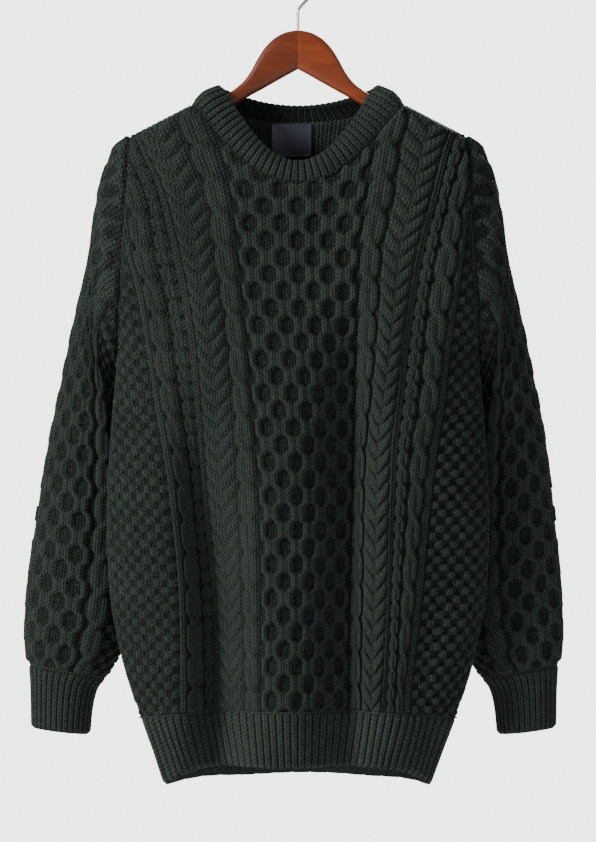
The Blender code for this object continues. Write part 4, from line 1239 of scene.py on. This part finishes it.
def geometry_tree(name, inputs):
    """A geometry tree with these named inputs: the tree, its nodes' helper and its ends."""
    made = bpy.data.node_groups.new(name, "GeometryNodeTree")
    made.interface.new_socket("Geometry", in_out="INPUT", socket_type="NodeSocketGeometry")
    for word, kind in inputs:
        made.interface.new_socket(word, in_out="INPUT", socket_type="NodeSocket" + kind)
    made.interface.new_socket("Geometry", in_out="OUTPUT", socket_type="NodeSocketGeometry")
    tree = Tree(made)
    return made, tree, tree.node("NodeGroupInput").outputs, tree.node("NodeGroupOutput").inputs


def grow(name, source, made, values):
    """A plain mesh of what the tree makes from the source mesh, as a new object."""
    thing = bpy.data.objects.new(name, source)
    bpy.context.scene.collection.objects.link(thing)
    modifier = thing.modifiers.new("grow", "NODES")
    modifier.node_group = made
    for socket in made.interface.items_tree:
        if socket.in_out == "INPUT" and socket.name in values:
            modifier[socket.identifier] = values[socket.name]
    ready = thing.evaluated_get(bpy.context.evaluated_depsgraph_get())
    mesh = bpy.data.meshes.new_from_object(ready)
    thing.modifiers.remove(modifier)
    thing.data = mesh
    mesh.name = name
    bpy.data.meshes.remove(source)
    print(name, sum(len(face.vertices) - 2 for face in mesh.polygons), "triangles")
    return thing


def turn_towards(tree, vector, axis):
    """A rotation that turns an axis to a vector."""
    made = tree.node("FunctionNodeAlignRotationToVector", {"Vector": vector}, axis=axis)
    return made.outputs["Rotation"]


def random_number(tree, low, high, seed):
    """A random number for each point."""
    made = tree.node("FunctionNodeRandomValue", {2: low, 3: high, "Seed": seed}, data_type="FLOAT")
    return made.outputs[1]


def place_copies(tree, given, result, points, shape, facing, turn, scale):
    """Put copies of a shape on points, turned from their facing, as real geometry in the yarn."""
    tilt = tree.node("FunctionNodeEulerToRotation", {0: turn}).outputs[0]
    both = tree.node("FunctionNodeRotateRotation", {0: facing, 1: tilt}, rotation_space="LOCAL")
    copies = tree.node("GeometryNodeInstanceOnPoints", {
        "Points": points, "Instance": shape, "Rotation": both.outputs[0], "Scale": scale})
    real = tree.node("GeometryNodeRealizeInstances", {0: copies.outputs[0]})
    dressed = tree.node("GeometryNodeSetMaterial", {
        "Geometry": real.outputs[0], "Material": given["Yarn"]})
    tree.feed(result["Geometry"], dressed.outputs[0])


# %% Stitch row tree
STITCH_PITCH = 0.0030
STITCH_RADIUS = 0.0011
STITCH_LONG = 1.9            # a stitch is this many times as long as it is wide
STITCH_LEAN = 0.45           # and leans to one side and the other by turns, in radians

stitch_tree, tree, given, result = geometry_tree(
    "row of stitches", (("Pitch", "Float"), ("Radius", "Float"), ("Long", "Float"), ("Lean", "Float"),
                        ("Yarn", "Material")))
curve = tree.node("GeometryNodeMeshToCurve", {"Mesh": given["Geometry"]})
line = tree.node(
    "GeometryNodeResampleCurve", {"Curve": curve.outputs[0], "Length": given["Pitch"]}, mode="LENGTH")
ball = tree.node("GeometryNodeMeshIcoSphere", {"Radius": given["Radius"], "Subdivisions": 1})
number = tree.node("GeometryNodeInputIndex").outputs[0]
parity = tree.math("MULTIPLY_ADD", tree.math("MODULO", number, 2.0), 2.0, -1.0)
lean = tree.node("ShaderNodeCombineXYZ", {"Z": tree.math("MULTIPLY", parity, given["Lean"])})
size = tree.node("ShaderNodeCombineXYZ", {"X": given["Long"], "Y": 1.0, "Z": 1.0})
along = turn_towards(tree, tree.node("GeometryNodeInputTangent").outputs[0], "X")
place_copies(tree, given, result, line.outputs[0], ball.outputs[0], along,
             lean.outputs[0], size.outputs[0])

# %% Seams
SEAM_PROUD = 0.0006          # the stitches over the hem stand out by this much

round_it = np.linspace(0, 2 * np.pi, 241)
seam_lines = {"neck": neck_seam(round_it)}
for word, side in (("left", -1), ("right", 1)):
    seam_lines["armhole_" + word] = sleeve_surface(SLEEVE, side, 0.0, round_it)
    seam_lines["cuff_" + word] = sleeve_surface(CUFF, side, 0.0, round_it)
    z = np.linspace(UNDERARM_Z - 0.004, HEM_TOP + 0.010, 90)
    seam_lines["side_" + word] = body_point(True, side, z)
    x = side * np.linspace(NECK_HALF + 0.004, SHOULDER_HALF - 0.002, 40)
    seam_lines["shoulder_" + word] = np.stack([x, middle_y(x), ridge_z(x)], axis=1)
u = np.linspace(-1, 1, 161)
for word, front in (("front", True), ("back", False)):
    seam_lines["hem_" + word] = body_point(front, u, hem_top_z(u), inset=-SEAM_PROUD)


def line_mesh(name, lines):
    """A mesh of edges along these lines."""
    points, edges = [], []
    for line in lines:
        edges += [(len(points) + k, len(points) + k + 1) for k in range(len(line) - 1)]
        points += [tuple(map(float, point)) for point in line]
    made = bpy.data.meshes.new(name)
    made.from_pydata(points, edges, [])
    return made


seam_stitches = grow("seam_stitches", line_mesh("seams", seam_lines.values()), stitch_tree, {
    "Pitch": STITCH_PITCH, "Radius": STITCH_RADIUS, "Long": STITCH_LONG, "Lean": STITCH_LEAN,
    "Yarn": yarn_material})

# %% Fibre tree
FIBRE_LENGTH = 0.0042
FIBRE_RADIUS = 0.00007
FIBRE_RAISED = 0.12          # fibres stand on what is raised at least this much
FIBRE_LEAN = 1.25            # they lean by up to this much from upright, in radians
FIBRE_TURN = 6.28            # and face any way round

fibre_tree, tree, given, result = geometry_tree(
    "loose fibres", (("Density", "Float"), ("Length", "Float"), ("Radius", "Float"), ("Raised", "Float"),
                     ("Seed", "Int"), ("Yarn", "Material")))
raised = tree.node("GeometryNodeInputNamedAttribute", {"Name": "raised"}, data_type="FLOAT")
chosen = tree.node("FunctionNodeCompare", {0: raised.outputs[0], 1: given["Raised"]},
                   data_type="FLOAT", operation="GREATER_THAN")
scatter = tree.node("GeometryNodeDistributePointsOnFaces", {
    "Mesh": given["Geometry"], "Selection": chosen.outputs[0], "Density": given["Density"],
    "Seed": given["Seed"]}, distribute_method="RANDOM")
spike = tree.node("GeometryNodeMeshCone", {
    "Vertices": 3, "Radius Top": 0.0, "Radius Bottom": given["Radius"], "Depth": given["Length"]},
    fill_type="NONE")
bend = tree.node("ShaderNodeCombineXYZ", {
    "X": random_number(tree, -FIBRE_LEAN, FIBRE_LEAN, 11),
    "Y": random_number(tree, -FIBRE_LEAN, FIBRE_LEAN, 12),
    "Z": random_number(tree, 0.0, FIBRE_TURN, 13)})
upright = turn_towards(tree, scatter.outputs["Normal"], "Z")
place_copies(tree, given, result, scatter.outputs["Points"], spike.outputs["Mesh"], upright,
             bend.outputs[0], random_number(tree, 0.45, 1.0, 14))

# %% Grow the fibres
FIBRE_DENSITY = 42000.0      # fibres on a square metre
fibres = []
fluffy = (front_cloth, back_cloth, sleeves["left"], sleeves["right"], collar_band,
          hem_front_cloth, hem_back_cloth, cuffs["left"], cuffs["right"])
for seed, piece in enumerate(fluffy, 1):
    fibres.append(grow("fibres_" + piece.name, piece.data.copy(), fibre_tree, {
        "Density": FIBRE_DENSITY, "Length": FIBRE_LENGTH, "Radius": FIBRE_RADIUS,
        "Raised": FIBRE_RAISED, "Seed": seed, "Yarn": yarn_material}))

# %% [markdown]
# ## What each piece stands for
# Every piece rides on the one body and takes the place of its solid.
# The flat sizes are the largest width and length of what shows, laid out with its folds opened:
# a panel, a tube all round, or the collar band as it is folded. The stitches stand proud of it.

# %% Pieces
PIECES = (
    # piece, CAD node, slot, flat size, area of the flat cut, what it hangs on
    (front_cloth, "front", "wool", (0.460, 0.645), 0.241, ("hanger_arm_left", "hanger_arm_right")),
    (back_cloth, "back", "wool", (0.435, 0.645), 0.245, ("hanger_arm_left", "hanger_arm_right")),
    (sleeves["left"], "sleeve_left", "wool", (0.470, 0.570), 0.111, ("front", "back")),
    (sleeves["right"], "sleeve_right", "wool", (0.470, 0.570), 0.111, ("front", "back")),
    (hem_front_cloth, "hem_front", "wool_rib", (0.390, 0.074), 0.0217, ("front",)),
    (hem_back_cloth, "hem_back", "wool_rib", (0.375, 0.074), 0.0251, ("back",)),
    (cuffs["left"], "cuff_left", "wool_rib", (0.215, 0.067), 0.0113, ("sleeve_left",)),
    (cuffs["right"], "cuff_right", "wool_rib", (0.215, 0.067), 0.0113, ("sleeve_right",)),
    (collar_band, "collar", "wool_rib", (0.485, 0.031), None, ("front", "back")),
    (label_piece, "neck_label", "label", (0.043, 0.034), None, ("back",)),
)


def wall_area(piece):
    """Half a closed piece's surface, in square metres."""
    return sum(face.area for face in piece.data.polygons) / 2


def stand_for(piece, node):
    """Put a piece on the body, in the place of its solid."""
    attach(piece, ROOT)
    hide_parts(node)


for piece, node, slot, flat, area, rests_on in PIECES:
    stand_for(piece, node)
    share = wall_area(piece) / (area or flat[0] * flat[1])
    print(piece.name, "flat", flat, "surface over flat %.2f" % share)
stand_for(arms["left"], "hanger_arm_left")
stand_for(arms["right"], "hanger_arm_right")
stand_for(hook_piece, "hanger_hook")
for piece in (seam_stitches, *fibres):
    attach(piece, ROOT)

# %% [markdown]
# ## Studio
# A plain pale floor and soft light from the left front, as in the photograph. The camera stands at
# the garment's middle height and looks straight at it.

# %% Floor and world
STUDIO_WHITE = (0.80, 0.81, 0.82)
WALL_BRIGHTNESS = 4.6        # how bright the wall behind looks
ROOM_BRIGHTNESS = 0.66       # how much light the room gives from all sides
FLOOR_Z = -1.30
FLOOR_RADIUS = 2.8
FLOOR_SIDES = 64

floor_mesh = bpy.data.meshes.new("studio_floor")
turns = [math.tau * k / FLOOR_SIDES for k in range(FLOOR_SIDES)]
ring = [(FLOOR_RADIUS * math.cos(turn), FLOOR_RADIUS * math.sin(turn), FLOOR_Z) for turn in turns]
floor_mesh.from_pydata(ring, [], [tuple(range(FLOOR_SIDES))])
floor = bpy.data.objects.new("studio_floor", floor_mesh)
bpy.context.scene.collection.objects.link(floor)
floor_material, tree, shader = new_material("pale floor", roughness=0.8)
tree.feed(shader.inputs["Base Color"], tree.mix(
    tree.spread(tree.noise(tree.place(), 3.0), 0.3, 0.7), (0.78, 0.79, 0.80), (0.82, 0.83, 0.84)))
paint(floor, floor_material)

world = bpy.data.worlds.new("studio")
world.use_nodes = True
tree = Tree(world.node_tree)
sky = world.node_tree.nodes["Background"]
sky.inputs["Color"].default_value = (*STUDIO_WHITE, 1.0)
seen = tree.node("ShaderNodeLightPath").outputs["Is Camera Ray"]
tree.feed(sky.inputs["Strength"], tree.math(
    "MULTIPLY_ADD", seen, WALL_BRIGHTNESS - ROOM_BRIGHTNESS, ROOM_BRIGHTNESS))
bpy.context.scene.world = world

# %% Lights


def soft_light(name, place, target, size, power, colour):
    """A square area light that faces the target."""
    data = bpy.data.lights.new(name, "AREA")
    data.shape = "SQUARE"
    data.size = size
    data.energy = power
    data.color = colour
    light = bpy.data.objects.new(name, data)
    light.location = place
    aim = Vector(target) - Vector(place)
    light.rotation_euler = aim.to_track_quat("-Z", "Y").to_euler()
    bpy.context.scene.collection.objects.link(light)


MIDDLE = (0.0, 0.0, -0.45)
soft_light("key", (-2.7, -1.7, 0.9), MIDDLE, 0.9, 258.0, (1.0, 0.98, 0.95))
soft_light("fill", (2.2, -2.6, -0.1), MIDDLE, 1.6, 24.0, (0.94, 0.97, 1.0))
soft_light("back", (0.8, 2.4, 0.6), MIDDLE, 1.8, 170.0, (1.0, 1.0, 1.0))

# %% Camera
VIEW_DISTANCE = 3.3
VIEW_HEIGHT = -0.4709
PICTURE_HEIGHT = 842         # pixels
PIXEL = 0.00103              # metres at the garment for each pixel
VIEW_SPAN = PICTURE_HEIGHT * PIXEL
SENSOR = 36.0

camera_data = bpy.data.cameras.new("camera")
camera_data.sensor_fit = "VERTICAL"
camera_data.sensor_height = SENSOR
camera_data.lens = SENSOR * VIEW_DISTANCE / VIEW_SPAN
camera = bpy.data.objects.new("camera", camera_data)
camera.location = (0.0, -VIEW_DISTANCE, VIEW_HEIGHT)
camera.rotation_euler = (math.radians(90), 0.0, 0.0)
bpy.context.scene.collection.objects.link(camera)
bpy.context.scene.camera = camera
print("lens %.1f mm" % camera_data.lens)
